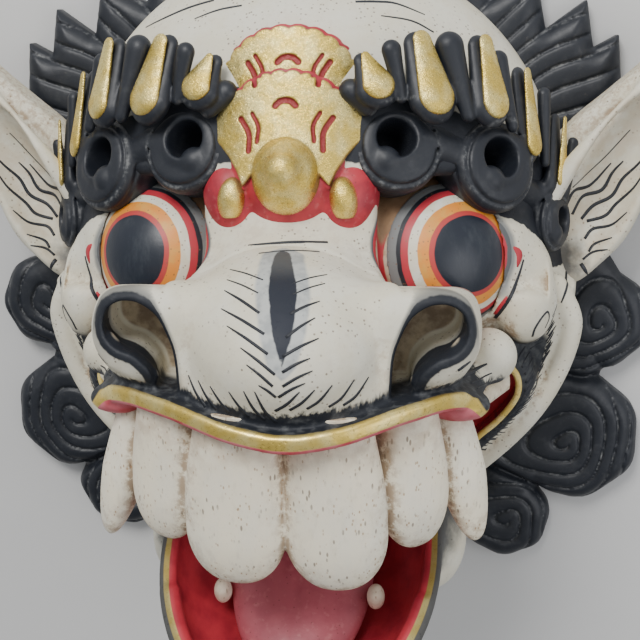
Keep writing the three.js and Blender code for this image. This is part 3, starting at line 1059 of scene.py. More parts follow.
def fan(outline, base, up, thick, bend, grow=0.0, soft=0.8):
    """A plate with an outline, standing on base along up, its sides bent back."""
    def distance(x, y, z):
        v, w = on_plate(x, y, z, base, up, bend)
        return rounded(outline_distance(outline, x, v) - grow, np.abs(w) - thick / 2, soft)

    return Form((-40, base[1] - 18, base[2] - 30), (40, base[1] + 52, base[2] + 20), distance)


# ---------- brow ----------
CURLS = [((46, 66, 100), (0.30, 0.34, 0.89), 21.5, (-0.1, 0.35)),
         ((88, 56, 82), (0.58, 0.28, 0.77), 22.5, (0.0, 0.30)),
         ((119, 26, 57), (0.86, 0.10, 0.50), 15.0, (0.35, 0.1))]
BLACK_FINGERS = [((36, 88, 115), (28, 95, 112), 4.5, 5.5), ((51, 92, 114), (46, 113, 112), 2.6, 4.6),
                 ((80.5, 84, 104), (71, 114, 99), 3.4, 6.8), ((101, 77, 89), (93, 107, 85), 3.0, 4.8),
                 ((118, 57, 67), (116, 89, 62), 2.6, 3.6), ((128, 36, 50), (132, 64, 44), 3.4, 3.6)]
PLUMES = [((40, 97.5, 116), (34, 109, 112), 8.0, 2.4), ((65, 92, 111), (58, 115.5, 104), 9.3, 4.8),
          ((91, 88, 97), (85.5, 114, 91), 8.0, 4.2), ((109.5, 66.5, 77), (105.3, 99, 70), 6.2, 3.0),
          ((123.8, 47.7, 60), (124.3, 75.8, 54), 4.8, 2.0)]
HEAD_MIDDLE = (0, 20, 10)


def curl_axes(centre, out):
    centre, out = np.array(centre, float), unit(out)
    side = unit(np.cross((0, 1, 0), out))
    return centre, out, side, np.cross(out, side)


def curl_hole(centre, out, radius, offset):
    """The deep hollow in a curl, set off its middle."""
    centre, out, side, over = curl_axes(centre, out)
    hole = centre + (side * offset[0] + over * offset[1]) * radius * 0.5
    return rod([hole + out * radius * 1.6, hole - out * radius * 0.2], [radius * 0.50, radius * 0.34])


def brow_clay():
    clay = Clay((0, 4, 22), (142, 128, 136), STEP * 0.9)
    for start, end, low, high in BLACK_FINGERS:
        out = np.array(start) - HEAD_MIDDLE
        clay.add(leaf_rod(start + unit(out) * 1.5, end + unit(out) * 2.5, low, high, out, 0.9), 1.5)
    for start, end, low, high in PLUMES:
        clay.add(leaf_rod(start, end, low + 2.4, high + 2.0, np.array(start) - HEAD_MIDDLE, 0.55), 1.5)
    clay.add(rod([(30, 72, 106), (46, 74, 104), (64, 70, 98), (88, 58, 83), (112, 40, 62), (124, 24, 48)],
                 [9, 10, 11, 11, 9, 7]), 5)
    for centre, out, radius, offset in CURLS:
        centre, out, side, over = curl_axes(centre, out)
        clay.add(egg(centre - out * radius * 0.05, (radius * 0.94,) * 3), 4)
        clay.add(ring(centre + out * radius * 0.38, out, radius * 0.62, radius * 0.37), 2)
        for k, size in enumerate((0.99, 0.84)):
            clay.cut(ring(centre + out * radius * (0.40 + 0.26 * k), out, radius * size, 0.9), 0.8)
        clay.cut(curl_hole(centre, out, radius, offset), 2)
        bead = centre + out * radius * 0.55 - (side * 0.30 + over * 0.30) * radius
        clay.add(egg(bead, (radius * 0.34, radius * 0.34, radius * 0.30)), 1.0)
    return clay


def brow_zones(p):
    edge = np.full(len(p), 1e9)
    for centre, out, radius, offset in CURLS:
        centre, out, side, over = curl_axes(centre, out)
        v = folded(p) - centre
        along = v @ out
        away = np.linalg.norm(v - along[:, None] * out, axis=1)
        edge = np.minimum(edge, np.abs(away / radius - 0.89) + 0.3 * (along < 0))
    return {"edge": edge}


def black_material(name, wear):
    """Black paint, rubbed grey where the edge zone is below wear."""
    n = Nodes(name)
    colour = black_paint(n)
    edge = n.times(n.step(n.attribute("edge"), wear, wear * 0.2), n.patches(0.46, 0.72, 6, 4.0, 0.75))
    colour = n.tint(colour, edge, 0.75, (0.20, 0.205, 0.205))
    rough = n.blend(n.noise(5, 4.0), 0.40, 0.62)
    return n.finish(colour, rough, 0.0,
                    [(n.noise(10, 2.0), 1.0, 0.25), (n.noise(1.6, 4.0, 0.7), 0.3, 0.3)], coat=0.1)


def plume_clay():
    clay = Clay((0, 20, 30), (140, 130, 136), STEP * 0.8)
    for start, end, low, high in PLUMES:
        out = np.array(start) - HEAD_MIDDLE
        lift = unit(out) * 4.6
        clay.add(leaf_rod(np.array(start) + lift, np.array(end) + lift * 1.15, low, high, out, 0.36), 0.4)
    hook = curve([(126, 14, 52), (129, 16, 50), (130.5, 22, 48), (129.5, 28, 47)], 8)
    clay.add(rod(hook, [3.4] * 5 + [2.4] * 4))
    return clay


def gold_material(name):
    n = Nodes(name)
    colour, grain = gold_leaf(n)
    edge = n.zone("rim", 1.5, 0.2)
    colour = n.tint(colour, edge, 0.75, (0.22, 0.10, 0.035))
    slit = n.zone("slit", 0.35, -0.15)
    colour = n.mix(slit, colour, (0.30, 0.03, 0.03))
    metal = n.blend(n.math("MAXIMUM", edge, slit), 0.88, 0.15)
    rough = n.blend(n.step(grain, 0.42, 0.62), 0.24, 0.46)
    return n.finish(colour, rough, metal, [(n.noise(9, 3.0), 1.6, 0.45), (grain, 0.45, 0.7)])


def plain_gold(p):
    return {"rim": np.full(len(p), 9.0), "slit": np.full(len(p), 9.0)}


# ---------- crown ----------
LOWER_TOP = scallop([(35, 12), (36, 17), (31, 25), (24, 31), (16, 36), (8, 39), (0, 40)], 7, 1.5)
LOWER_FAN = both_sides([(0, 3), (7, 1.5), (13, -3), (17, -8), (20, -11), (23, -4), (27, 3), (31, 8),
                        *LOWER_TOP])
UPPER_TOP = scallop([(30, 10), (31, 14), (26, 21), (19, 26.5), (10, 30), (0, 31)], 6, 1.5)
UPPER_FAN = both_sides([(0, -4), (14, -4), (22, 0), (28, 6), *UPPER_TOP])
# Each tier: outline, where it stands, which way is up along it, thickness, and how far it bends back.
TIERS = [(LOWER_FAN, (0, 66, 128), (0, 36, -10), 5.0, 0.010),
         (UPPER_FAN, (0, 94, 114.5), (0, 31, -9), 5.0, 0.010)]


def slit_lines(tier):
    """The curved cuts on one tier, as lines of points on its plate."""
    if tier == 0:
        lines = [curve([(15.5, 22), (12.5, 16), (13, 9)], 8), curve([(21, 20), (17, 13), (17, 5)], 8),
                 curve([(0, 27.5), (2.5, 27), (4.6, 25)], 5)]
    else:
        lines = [curve([(15.5, 19), (12, 13), (12, 8)], 8), curve([(19, 16), (15.5, 10), (14.5, 4)], 8),
                 curve([(0, 17.8), (2.6, 17.3), (4.8, 15.4)], 5)]
    return [line[:, :2] for line in lines]


def slit_distance(tier, x, v):
    best = np.full(np.broadcast(x, v).shape, 1e9)
    for line, half in zip(slit_lines(tier), (0.8, 1.15, 1.3)):
        for a, b in zip(line[:-1], line[1:]):
            d = b - a
            t = np.clip(((x - a[0]) * d[0] + (v - a[1]) * d[1]) / (d @ d), 0, 1)
            away = np.sqrt((x - a[0] - t * d[0]) ** 2 + (v - a[1] - t * d[1]) ** 2)
            best = np.minimum(best, away - half)
    return best


def crown_red_clay():
    clay = Clay((0, 22, 84), (48, 136, 146), STEP * 0.8)
    clay.add(egg((0, 54, 108), (27, 29, 24)))
    clay.add(egg((26, 46, 112), (15, 20, 15), turn_matrix(z=-0.25)), 2.5)
    clay.add(egg((30, 33, 108), (6, 7, 6)), 5)
    for outline, base, up, thick, bend in TIERS:
        clay.add(fan(outline, np.array(base) - (0, 1, 4.0), up, 7.0, bend, 1.6), 0.8)
    return clay


def crown_gold_clay():
    clay = Clay((0, 40, 96), (42, 136, 152), STEP * 0.6)
    for tier, (outline, base, up, thick, bend) in enumerate(TIERS):
        plate = fan(outline, base, up, thick, bend)
        clay.add(plate)

        def groove(x, y, z):
            v, w = on_plate(x, y, z, base, up, bend)
            return np.maximum(slit_distance(tier, x, v), 1.2 - w)

        clay.cut(Form(plate.low, plate.high, groove), 0.4)
    clay.add(egg((0, 59, 124), (16, 18.5, 17)))
    clay.add(egg((0, 63, 139), (6.5, 7.5, 6)), 5)
    clay.add(egg((26, 48, 124), (6.5, 10.5, 8), turn_matrix(z=0.12)))
    return clay


def crown_zones(p):
    ax = np.abs(p[:, 0])
    rim, slit = np.full(len(p), 9.0), np.full(len(p), 9.0)
    for tier, (outline, base, up, thick, bend) in enumerate(TIERS):
        v, w = on_plate(ax, p[:, 1], p[:, 2], base, up, bend)
        near = (np.abs(w) < thick / 2 + 0.5) & (v > -14) & (v < 44)
        rim = np.where(near, np.minimum(rim, 0.4 - outline_distance(outline, ax, v)), rim)
        slit = np.where(near, np.minimum(slit, slit_distance(tier, ax, v)), slit)
    return {"rim": rim, "slit": slit}


def red_material(name, colour=RED, deep=(0.30, 0.015, 0.03)):
    n = Nodes(name)
    shade = n.mix(n.patches(0.35, 0.7, 13, 4.0), colour, deep)
    shade = n.tint(shade, n.patches(0.55, 0.75, 3.5, 4.0), 0.35, (0.60, 0.22, 0.22))
    # Painted shade: the red darkens in the hollows.
    shade = n.tint(shade, n.zone("hollow_grime_and_shade", 0.2, 0.8), 0.6, (0.10, 0.02, 0.02))
    pits = n.specks(3.0, 0.15)
    shade = n.tint(shade, pits, 0.5, (0.10, 0.02, 0.02))
    return n.finish(shade, n.blend(n.noise(6, 3.0), 0.42, 0.6), 0.0,
                    [(n.noise(8, 2.0), 0.8, 0.25), (n.noise(1.4, 4.0), 0.25, 0.3)], coat=0.1)


# ---------- lower jaw ----------
JAW = {"half": 72.0, "depth": 48.0, "nose": 94.4, "trough": 74.0, "wall": 9.0, "rim": 10.0}


def scoop(shrink):
    """The jaw's boat shape in its own axes: x, up from the pivot, forward."""
    radii = (JAW["half"] - shrink, JAW["depth"] - shrink, JAW["nose"] - shrink)

    def distance(x, y, z):
        u, v, w = x / radii[0], (y - JAW["rim"]) / radii[1], np.maximum(z - JAW["trough"], 0) / radii[2]
        near = np.sqrt(u ** 2 + v ** 2 + w ** 2)
        slope = np.sqrt((u / radii[0]) ** 2 + (v / radii[1]) ** 2 + (w / radii[2]) ** 2)
        return near * (near - 1.0) / np.maximum(slope, 1e-6)

    low = (-radii[0], JAW["rim"] - radii[1], -60)
    return Form(low, (radii[0], JAW["rim"] + radii[1], JAW["trough"] + radii[2]), distance)


def jaw_clay():
    clay = Clay((0, -44, -34), (92, 26, 176), STEP)
    clay.add(scoop(0))
    clay.cut(block((-200, -200, -100), (200, 200, -10)), 2)
    clay.add(egg((64, -14, 52), (20, 22, 30)), 8)
    clay.cut(block((-200, JAW["rim"], -100), (200, 200, 300)), 2.5)
    clay.add(rod([(50, 0, 0), (70, 0, 0)], 12.0), 3)
    clay.cut(scoop(JAW["wall"]), 2.5)
    clay.cut(block((-63, -20, -60), (63, 60, -4)), 1)
    clay.add(rod([(60, 0, 0), (83.5, 0, 0)], 5.5), 0)
    # gum ridge that the lower teeth stand in
    arc = np.linspace(0.0, 1.25, 12)
    clay.add(rod(np.stack([66 * np.sin(arc), np.full(12, 8.0), 74 + 88 * np.cos(arc)], axis=1), 4.2), 3)
    return clay


def jaw_zones(p):
    inner = scoop(4.0).distance(p[:, 0], p[:, 1], p[:, 2])
    return {"inside": inner, "top": p[:, 1] - JAW["rim"]}


def jaw_material():
    n = Nodes("jaw_paint")
    colour, pits, fine = cream_paint(n)
    top = n.attribute("top")
    shade = n.step(n.plus(top, n.times(n.noise(7, 3.0), 10.0)), -12.0, 2.0)
    colour = n.tint(colour, shade, 0.92, black_paint(n))
    red = n.mix(n.patches(0.35, 0.7, 16, 4.0), RED, (0.32, 0.015, 0.03))
    # Painted shade: the red inside the jaw darkens in the hollows.
    red = n.tint(red, n.zone("hollow_grime_and_shade", 0.3, 0.9), 0.5, (0.10, 0.015, 0.02))
    colour = n.mix(n.zone("inside", 0.6, -0.4), colour, red)
    gold, grain = gold_leaf(n)
    edge = n.times(n.step(top, -3.2, -2.2), n.step(n.math("ABSOLUTE", n.attribute("inside")), 1.7, 1.1))
    colour = n.mix(edge, colour, n.mix(0.6, gold, (0.16, 0.13, 0.05)))
    return n.finish(colour, n.blend(fine, 0.45, 0.65), n.times(edge, 0.6),
                    [(n.noise(9, 2.0), 1.0, 0.25), (fine, 0.3, 0.3)])


def lower_teeth_clay():
    clay = Clay((0, -6, 60), (76, 26, 172), STEP * 0.9)
    for i in range(3):
        x, s = 67.5 * math.sin(i * 0.31), 74 + 89.5 * math.cos(i * 0.31)
        clay.add(egg((x, 12, s - 1), (9.6, 12, 6.5), turn_matrix(y=i * 0.31)))
    clay.add(egg((39, -3, 94), (4.5, 8, 6)))
    return clay


def tongue_clay():
    clay = Clay((-44, -26, -6), (44, 12, 142), STEP, mirrored=False)
    clay.add(egg((0, -10.5, 74), (37, 12, 64)))
    clay.add(egg((0, -8, 30), (29, 11, 34)), 8)
    clay.cut(rod(curve([(0, 3.2, 20), (1, 3.4, 60), (-1, 3.0, 100), (0, -1, 132)], 10), 1.5), 3)
    return clay


# ---------- ears ----------
EAR = [(118, -2), (128, -8), (140, -8), (152, 2), (164, 16), (173, 38), (180, 62), (186, 88), (192, 118),
       (178, 112), (164, 100), (150, 88), (134, 74), (122, 58), (116, 30)]
EAR_RIM = curve([(124, -2, 50), (119, 18, 56), (124, 40, 59), (136, 58, 60), (152, 75, 56), (170, 95, 50),
                 (188, 117, 40)], 24)


def ear_clay():
    clay = Clay((106, -12, 10), (197, 128, 72), STEP * 0.9, mirrored=False)
    clay.add(slab(curve(EAR + EAR[:1], 90)[:, :2], 20, 47, 7))
    clay.add(rod(EAR_RIM, np.linspace(6.5, 3.4, len(EAR_RIM))), 5)
    clay.cut(egg((152, 40, 70), (21, 62, 36), turn_matrix(z=-0.42)), 3)
    clay.cut(egg((136, 18, 66), (13, 24, 26), turn_matrix(z=-0.2)), 5)
    clay.cut(egg((150, 50, 8), (40, 90, 16), turn_matrix(z=-0.42)), 4)
    return clay


def ear_zones(p):
    rim = near_line(p, EAR_RIM)
    root = np.linalg.norm((p - np.array([130, 4, 52])) * np.array([1, 1, 0.4]), axis=1)
    cup = egg((152, 40, 70), (23, 65, 38), turn_matrix(z=-0.42)).distance(p[:, 0], p[:, 1], p[:, 2])
    return {"rim": rim, "root": root, "cup": cup}


def ear_material():
    n = Nodes("ear_paint")
    colour, pits, fine = cream_paint(n)
    inside = n.zone("cup", 1.5, -2.0)
    colour = n.tint(colour, n.times(inside, n.patches(0.35, 0.6, 9, 4.0)), 0.35, (0.55, 0.40, 0.24))
    root = n.step(n.plus(n.attribute("root"), n.times(n.noise(6, 3.0), 14.0)), 27.0, 12.0)
    colour = n.tint(colour, root, 0.85, BLACK)
    fur = n.times(n.zone("rim", 4.5, 7.5), n.zone("cup", 2.0, 6.0))
    rust = n.mix(n.noise(2.0, 5.0, 0.8), (0.20, 0.10, 0.045), (0.50, 0.33, 0.18))
    patch = n.times(fur, n.patches(0.40, 0.66, 2.6, 5.0, 0.75))
    colour = n.tint(colour, patch, 0.6, rust)
    return n.finish(colour, n.blend(fine, 0.52, 0.7), 0.0,
                    [(n.noise(8, 2.0), 0.8, 0.25), (n.minus(fine, pits), 0.4, 0.4)])


# ---------- mane ----------
FLAMES = [(0, 172), (16, 176), (24, 160), (46, 172), (58, 152), (84, 161), (92, 138), (117, 148),
          (122, 121), (143, 136), (147, 111), (160, 118), (163, 84), (170, 62), (160, 30), (158, 4)]
# Middle and size of each side's three round locks.
LOCKS_RIGHT = ((155, -37, 29), (143, -106, 38), (107, -156, 26))
LOCKS_LEFT = ((159, -30, 28), (149, -98, 35), (121, -142, 28))


def mane_side(x, y, locks):
    """Distance to the mane's outline: the flames, and three round locks below them."""
    (cx, cy), (bx, by) = locks[1][:2], locks[2][:2]
    lower = [(168, -12), (160, -66), (cx + 6, cy), (bx + 16, by + 12), (bx - 14, by + 4), (90, -112),
             (100, -60), (100, 40), (60, 120), (0, 130)]
    side = outline_distance(FLAMES + lower, x, y)
    for cx, cy, radius in locks:
        angle = np.arctan2(y - cy, x - cx)
        side = np.minimum(side, np.hypot(x - cx, y - cy) - radius * (1 + 0.025 * np.sin(angle * 7 + cx)))
    return side


def wave_line(value, spacing):
    """Distance to the nearest of many lines a spacing apart."""
    return np.abs(value / spacing - np.round(value / spacing)) * spacing


def mane_relief(x, y, locks):
    """Distances to the carved lines and to the seams between locks."""
    x, y = (x + 2.6 * np.sin(y / 19 + 1) + 1.3 * np.sin(y / 7),
            y + 2.6 * np.sin(x / 17) + 1.2 * np.sin(x / 8 + 2))
    angle = np.arctan2(y - 5, x - 25)
    reach = np.hypot(x - 25, y - 5)
    sweep = (angle + 0.0022 * (reach - 120) * np.sign(x)) * 118
    strand = wave_line(sweep + 5 * np.sin(reach / 30) + 5 * np.sin(angle * 7), 9.5)
    spans = [np.hypot(x - cx, y - cy) for cx, cy, size in locks]
    turns = [np.arctan2(y - cy, x - cx) for cx, cy, size in locks]
    score = np.stack([span / (size + 4) for span, (cx, cy, size) in zip(spans, locks)])
    best = np.argmin(score, axis=0)
    span = np.choose(best, spans)
    turn = np.choose(best, turns)
    oval = span * (1 + 0.34 * np.cos(turn + 0.9 - 0.6 * best) + 0.10 * np.sin(3 * turn + best))
    coil = wave_line(oval + turn / (2 * np.pi) * 9.4, 9.4)
    low = smoothstep(12, -4, y)
    line = np.where(low > 0.5, coil, strand)
    order = np.sort(score, axis=0)
    seam = (order[1] - order[0]) * 20 + (1 - low) * 40 + np.maximum(order[0] - 1.25, 0) * 60
    return line, seam


def mane_clay(locks):
    """A flat board with pillowed edges, its lines carved in and its locks parted by seams."""
    clay = Clay((-1, -186, -2.5), (190, 190, 20), STEP, mirrored=False)
    x, y = clay.axes[0][:, None], clay.axes[1][None, :]
    side = mane_side(x, y, locks)
    line, seam = mane_relief(x, y, locks)
    pillow = np.sqrt(np.clip(1 - (1 - np.clip(-side / 13, 0, 1)) ** 2, 0, 1))
    height = 5.5 + 10.6 * pillow
    band = 0.7 * np.sin(np.clip(line / 4.1, 0, 1) * 1.57) - 1.3 * np.exp(-(line / 0.65) ** 2)
    height = height + band * smoothstep(0, 4, -side)
    height = height - 5.0 * np.exp(-(seam / 2.6) ** 2)
    z = clay.axes[2][None, None, :]
    body = np.maximum((z - height[:, :, None]) * 0.8, side[:, :, None] + 0.8)
    clay.field = np.maximum(body, -z).astype(np.float32)
    return clay


def mane_zones(locks):
    def zones(p):
        line, seam = mane_relief(p[:, 0], p[:, 1], locks)
        return {"edge": line + 2.0 * (p[:, 2] < 4)}
    return zones


# ---------- brush strokes ----------
VIEW = unit((0.12, 0.26, 0.958))     # strokes are pressed on along this line, mirrored on the left
START = 45.0                         # millimetres out from its guide point that a stroke starts
FARTHEST = 0.09                      # metres that it may travel before it lands


class Brush:
    """Painted strokes: thin closed ribbons laid on the carved pieces."""

    def __init__(self, *pieces):
        graph = bpy.context.evaluated_depsgraph_get()
        self.trees = [BVHTree.FromObject(piece, graph) for piece in pieces]
        self.points, self.faces = [], []

    def land(self, point, view):
        """Where a point pressed on along the view first touches a piece, and the normal there."""
        start = to_frame([point + view * START])[0]
        best = None
        for tree in self.trees:
            place, normal, index, far = tree.ray_cast(Vector(start), Vector(-view), FARTHEST)
            if place is not None and (best is None or far < best[2]):
                best = ((np.array(place) - ORIGIN) / MM, np.array(normal), far)
        return best

    def stroke(self, line, start, end, side=1, belly=0.35):
        """Lay one stroke along guide points, its width going from start to end."""
        view = VIEW * (side, 1, 1)
        line = np.array(line, float) * (side, 1, 1)
        length = np.linalg.norm(np.diff(line, axis=0), axis=1).sum()
        path = curve(line, max(6, int(length / 1.6)))
        landed = [hit for hit in (self.land(point, view) for point in path) if hit]
        if len(landed) < 4:
            return
        spots = np.array([hit[0] for hit in landed])
        normals = np.array([hit[1] for hit in landed])
        for _ in range(2):
            normals[1:-1] = (normals[:-2] + normals[1:-1] * 2 + normals[2:]) / 4
        normals /= np.linalg.norm(normals, axis=1)[:, None]
        along = np.gradient(spots, axis=0)
        across = np.cross(along, normals)
        across /= np.maximum(np.linalg.norm(across, axis=1), 1e-6)[:, None]
        t = np.linspace(0, 1, len(spots))
        width = (start + (end - start) * t + belly * max(start, end) * np.sin(np.pi * t))[:, None] / 2
        self.ribbon(spots, normals, across * width)

    def ribbon(self, spots, normals, rim):
        """A closed ribbon of four rows of points: its two edges sunk in and its crest standing up."""
        first = len(self.points)
        crest, rise, sink = rim * 0.75, normals * 0.22, normals * 0.5
        for row in zip(spots - rim - sink, spots - crest + rise, spots + crest + rise, spots + rim - sink):
            self.points.extend(row)
        count = len(spots)
        for i in range(count - 1):
            a = first + 4 * i
            for k in range(4):
                j = (k + 1) % 4
                self.faces.append((a + k, a + j, a + 4 + j, a + 4 + k))
        self.faces.append((first + 3, first + 2, first + 1, first))
        last = first + 4 * (count - 1)
        self.faces.append((last, last + 1, last + 2, last + 3))

    def done(self, name, node, material):
        mesh = make_mesh(name, to_frame(self.points), self.faces)
        add_piece(name, mesh, "head", [node], material)


def stroke_material(name, colour):
    n = Nodes(name)
    rub = n.patches(0.55, 0.8, 2.5, 4.0, 0.7)
    shade = n.mix(n.times(rub, 0.5), colour, (0.16, 0.15, 0.13))
    return n.finish(shade, 0.55, 0.0, [(n.noise(1.0, 3.0), 0.15, 0.3)])


def paint_snout(brush):
    brush.stroke([(-17, 29, 135), (2, 31, 137), (19, 30, 132)], 0.7, 1.4)
    brush.stroke([(-10, 28, 148), (4, 29, 146), (16, 27, 139)], 1.2, 1.2, belly=0.1)
    ribs = [((-21, 23, 159), (-4, 22, 174)), ((-21, 20, 166), (-5, 18, 181)),
            ((-21, 17, 173), (-3, 12, 191)),
            ((-21, 11, 181), (0, 5, 198)), ((-17, 6, 190), (2, -2, 203)), ((-10, -1, 198), (5, -10, 205)),
            ((-7, -7, 202), (4, -15, 205)), ((-2, -15, 204), (5, -20, 204)),
            ((22, 22, 163), (9, 21, 176)), ((22, 20, 171), (10, 18, 183)), ((21, 15, 182), (10, 12, 192)),
            ((20, 10, 190), (9, 4, 199)), ((22, 3, 196), (8, -3, 203)), ((19, -4, 201), (8, -9, 205)),
            ((20, -9, 202), (8, -15, 205)), ((17, -14, 203), (6, -20, 204))]
    for number, (tip, root) in enumerate(ribs):
        tip, root = np.array(tip, float), np.array(root, float)
        middle = (tip + root) / 2 + (0, 0.6, 0.5)
        wide = 0.75 if number % 8 < 2 else 1.5
        brush.stroke([tip, middle, root], 0.5, wide)
    for x, lift in ((-37, 7), (-32, 6), (-26, 5), (-17, 5), (-10, 7), (-5, 8)):
        y = -26 - 3 * (1 - abs(x) / 40)
        hair = [(x, y + lift, 196 + x * 0.45), (x + 4, y, 198 + x * 0.4), (x + 9, y - 4, 201 + x * 0.3)]
        brush.stroke(hair, 0.6, 1.8)
    for x, lift in ((14, 5), (20, 5), (27, 6), (36, 7), (42, 7)):
        y = -25 + x * 0.06
        hair = [(x, y + lift, 202 - x * 0.3), (x - 5, y, 202 - x * 0.2), (x - 10, y - 3, 202 - x * 0.1)]
        brush.stroke(hair, 0.6, 1.7)


def paint_cheek(brush, side):
    brush.stroke([(78, -17, 172), (83, -14, 168)], 1.6, 1.0, side)
    brush.stroke([(82, -27, 150), (87, -28, 138), (92, -29, 123)], 2.2, 0.9, side)
    brush.stroke([(84, -34, 137), (89, -34, 130), (94, -34, 121)], 0.7, 0.7, side)
    brush.stroke([(86, -38, 132), (92, -38, 122)], 0.6, 0.5, side)
    hook = [(114, -23, 96), (115, -18, 99), (118, -13, 98), (121, -11, 94), (122, -15, 91), (120, -20, 91)]
    brush.stroke(hook, 1.3, 0.7, side)
    brush.stroke([(109, 14, 91), (106, 4, 95), (101, -6, 99), (96, -15, 92)], 1.2, 2.0, side)
    brush.stroke([(134, -1, 46), (132, -8, 56), (130, -14, 64)], 1.6, 0.8, side)
    for k in range(3):
        brush.stroke([(116 + k, -26 - 2.5 * k, 92), (122 + k, -24 - 2.5 * k, 84)], 0.6, 0.4, side)


def paint_gum(brush, side):
    """Hairs: long ones across the black gum, short ones along the inner edge of the white band."""
    inner = curve([(121, -20, 62), (124, -32, 62), (121, -48, 62), (112, -67, 62), (98, -84, 62),
                   (85, -101, 62)], 40)
    edge = curve([(105, -40, 78), (111, -48, 78), (111, -60, 78), (103, -72, 77), (93, -82, 76),
                  (80, -98, 73)], 40)
    for i in range(1, 40):
        out = inner[i] - edge[i]
        out[2] = 0
        out /= np.linalg.norm(out)
        slant = np.array([0.15, 0.9, 0]) * (1.0 + 0.5 * math.sin(i * 2.1))
        start = inner[i] - out * (1.0 + 0.8 * math.sin(i * 3.7))
        tip = start + out * (5.0 + math.sin(i)) + slant * 2
        brush.stroke([start, start + out * 3.0 + slant, tip], 0.8, 0.3, side)
        if i % 3 == 0:
            reaches = ((1.5, 0), (5, 1.5), (9, 2.5))
            brush.stroke([edge[i] + out * a + slant * b for a, b in reaches], 1.6, 0.7, side)


def paint_ear(brush, side):
    hairs = [[(132, 32, 45), (136, 40, 44), (145, 42, 36), (155, 53, 35)],
             [(136, 27, 39), (141, 36, 37), (151, 39, 34), (156, 48, 34), (161, 54, 35)],
             [(141, 24, 36), (147, 31, 35), (156, 36, 35), (161, 45, 36), (168, 53, 39), (174, 62, 40)],
             [(144, 23, 36), (153, 26, 37), (158, 32, 37), (166, 41, 41), (171, 50, 42)],
             [(143, 14, 38), (147, 19, 37), (156, 22, 41), (163, 29, 44)],
             [(145, 8, 42), (148, 12, 41), (156, 16, 45)], [(142, 4, 43), (147, 8, 43), (154, 10, 46)]]
    for number, line in enumerate(hairs):
        brush.stroke(line, 2.4 - 0.15 * number, 0.8, side)
    brush.stroke([(135, 42, 46), (142, 48, 41), (152, 57, 37), (163, 70, 38)], 0.6, 0.5, side)
    brush.stroke([(141, 2, 44), (145, -3, 46), (152, -2, 48), (159, 6, 48)], 2.4, 0.8, side)


def paint_forehead(brush):
    brush.stroke([(-80, 124, 56), (-68, 129, 65), (-54, 134, 71), (-41, 137, 74)], 0.8, 1.6)
    brush.stroke([(-50, 128, 78), (-38, 132, 80), (-26, 134, 82)], 0.6, 1.2)
    brush.stroke([(28, 135, 81), (38, 135, 78), (47, 134, 75), (60, 128, 70)], 1.6, 0.6)
    brush.stroke([(40, 128, 82), (54, 125, 76), (64, 119, 72)], 0.7, 1.0)


def paint_strokes(face):
    ears = {1: bpy.data.objects["ear_carving_right"], -1: bpy.data.objects["ear_carving_left"]}
    black = stroke_material("stroke_paint", (0.018, 0.021, 0.028))
    brush = Brush(face)
    paint_snout(brush)
    paint_forehead(brush)
    for side in (1, -1):
        paint_cheek(brush, side)
        paint_gum(brush, side)
    brush.done("strokes_face", "face", black)
    for side, word in SIDES:
        brush = Brush(ears[side])
        paint_ear(brush, side)
        brush.done("strokes_ear_" + word, "ear_" + word, black)
    red = Brush(face, bpy.data.objects["eye_right"], bpy.data.objects["eye_left"])
    for side in (1, -1):
        red.stroke([(104, 21, 95), (107, 17, 93), (106, 11, 94)], 1.0, 1.0, side, belly=4.0)
        red.stroke([(101, -3, 97), (96, -13, 93)], 1.2, 2.6, side)
    red.done("strokes_red", "face", stroke_material("stroke_red", RED))


# ---------- build ----------
def on_head(name, clay, material, most, zones=None, node="face", bend=lean, flip=False):
    return sculpted(name, clay, "head", [node], material, most, zones, bend, flip)


def on_jaw(name, clay, material, most, zones=None, node="lower_jaw"):
    return sculpted(name, clay, "jaw", [node], material, most, zones, open_jaw)


def build_head():
    face = on_head("face_carving", face_clay(), face_material(), 185000, face_zones)
    eye_paint = eye_material()
    for side, word in SIDES:
        turn = EYE_TURNS[word]
        on_head("eye_" + word, eye_clay(side, turn), eye_paint, 24000, eye_zones(side, turn))
    on_head("upper_teeth", upper_teeth_clay(), tooth_material(), 50000, tooth_zones)
    black = black_material("brow_paint", 0.07)
    on_head("brow_curls", brow_clay(), black, 100000, brow_zones)
    gold = gold_material("gold_leaf")
    on_head("brow_plumes", plume_clay(), gold, 45000, plain_gold)
    on_head("crown_ground", crown_red_clay(), red_material("crown_paint"), 40000)
    on_head("crown_gold", crown_gold_clay(), gold, 70000, crown_zones)
    return face


def build_jaw():
    on_jaw("jaw_carving", jaw_clay(), jaw_material(), 60000, jaw_zones)
    on_jaw("lower_teeth", lower_teeth_clay(), tooth_material(), 30000, lower_tooth_zones)
    pink = red_material("tongue_paint", (0.43, 0.095, 0.12), (0.36, 0.065, 0.09))
    on_jaw("tongue_carving", tongue_clay(), pink, 30000, node="tongue")


def build_sides():
    ear_paint = ear_material()
    mane_paint = black_material("mane_paint", 1.1)
    for side, word in SIDES:
        left, locks = side < 0, LOCKS_RIGHT if side > 0 else LOCKS_LEFT
        on_head("ear_carving_" + word, ear_clay(), ear_paint, 40000, ear_zones,
                "ear_" + word, flip=left)
        on_head("mane_carving_" + word, mane_clay(locks), mane_paint, 80000,
                mane_zones(locks), "mane_" + word, straight, left)


carving = build_head()
build_jaw()
build_sides()
paint_strokes(carving)


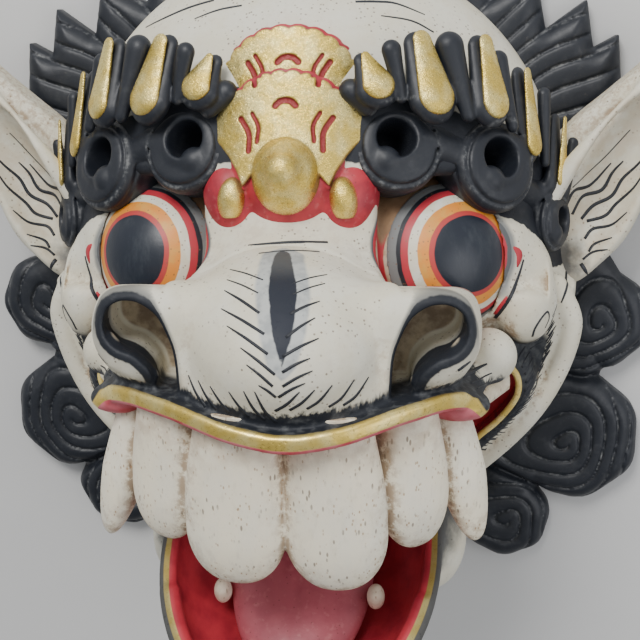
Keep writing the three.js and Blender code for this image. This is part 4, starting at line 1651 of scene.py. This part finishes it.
# ---------- floor, lights and camera ----------
def plain_floor():
    n = Nodes("floor_paper")
    colour = n.mix(n.noise(60, 3.0), (0.62, 0.62, 0.615), (0.66, 0.66, 0.655))
    material = n.finish(colour, 0.85, 0.0, [(n.noise(1.5, 3.0), 0.2, 0.1)])
    mesh = bpy.data.meshes.new("floor")
    size = 3.0
    mesh.from_pydata([(-size, -size, 0), (size, -size, 0), (size, size, 0), (-size, size, 0)], [],
                     [(0, 1, 2, 3)])
    floor = place_object("floor", mesh)
    floor.location.z = CAD_BOX[0][2] - 0.0005
    mesh.materials.append(material)


def area_light(name, place, aim, size, power, colour=(1, 1, 1)):
    data = bpy.data.lights.new(name, "AREA")
    data.shape = "DISK"
    data.size = size
    data.energy = power
    data.color = colour
    light = place_object(name, data)
    light.location = place
    light.rotation_euler = (Vector(aim) - Vector(place)).to_track_quat("-Z", "Y").to_euler()


def look_from(place, azimuth, elevation, roll):
    """A camera at a place, looking back along azimuth and elevation, in the frame's axes."""
    az, el, roll = (math.radians(a) for a in (azimuth, elevation, roll))
    back = Vector((math.sin(az) * math.cos(el), math.sin(el), math.cos(az) * math.cos(el)))
    right = (-back).cross(Vector((0, 1, 0))).normalized()
    up = right.cross(-back)
    turn = Matrix((right, up, back)).transposed() @ Matrix.Rotation(roll, 3, "Z")
    data = bpy.data.cameras.new("camera")
    data.sensor_width = 36.0
    data.lens = 65.8
    data.clip_start = 0.01
    camera = place_object("camera", data)
    camera.location = to_frame([place])[0]
    camera.rotation_euler = turn.to_euler()
    bpy.context.scene.camera = camera


def soft_studio():
    """A sky that brightens towards the forehead, a large window light and a weak fill."""
    world = bpy.data.worlds.new("studio")
    bpy.context.scene.world = world
    world.use_nodes = True
    tree = world.node_tree
    place = tree.nodes.new("ShaderNodeTexCoord")
    split = tree.nodes.new("ShaderNodeSeparateXYZ")
    tree.links.new(place.outputs["Generated"], split.inputs[0])
    glow = tree.nodes.new("ShaderNodeMapRange")
    tree.links.new(split.outputs["Y"], glow.inputs["Value"])
    glow.inputs["From Min"].default_value = -0.5
    glow.inputs["To Min"].default_value = 0.24
    glow.inputs["To Max"].default_value = 0.95
    tree.links.new(glow.outputs["Result"], tree.nodes["Background"].inputs[1])
    tree.nodes["Background"].inputs[0].default_value = (0.95, 0.97, 1.0, 1.0)
    area_light("window", (-0.30, 1.05, 1.15), (0, 0.02, 0.06), 0.6, 18.0, (1.0, 0.985, 0.96))
    area_light("fill", (0.95, -0.05, 0.9), (0.1, 0, 0.05), 1.0, 5.0, (0.98, 0.98, 1.0))


plain_floor()
soft_studio()
look_from((78.4, 133.2, 649.6), 7.0, 15.0, -1.0)
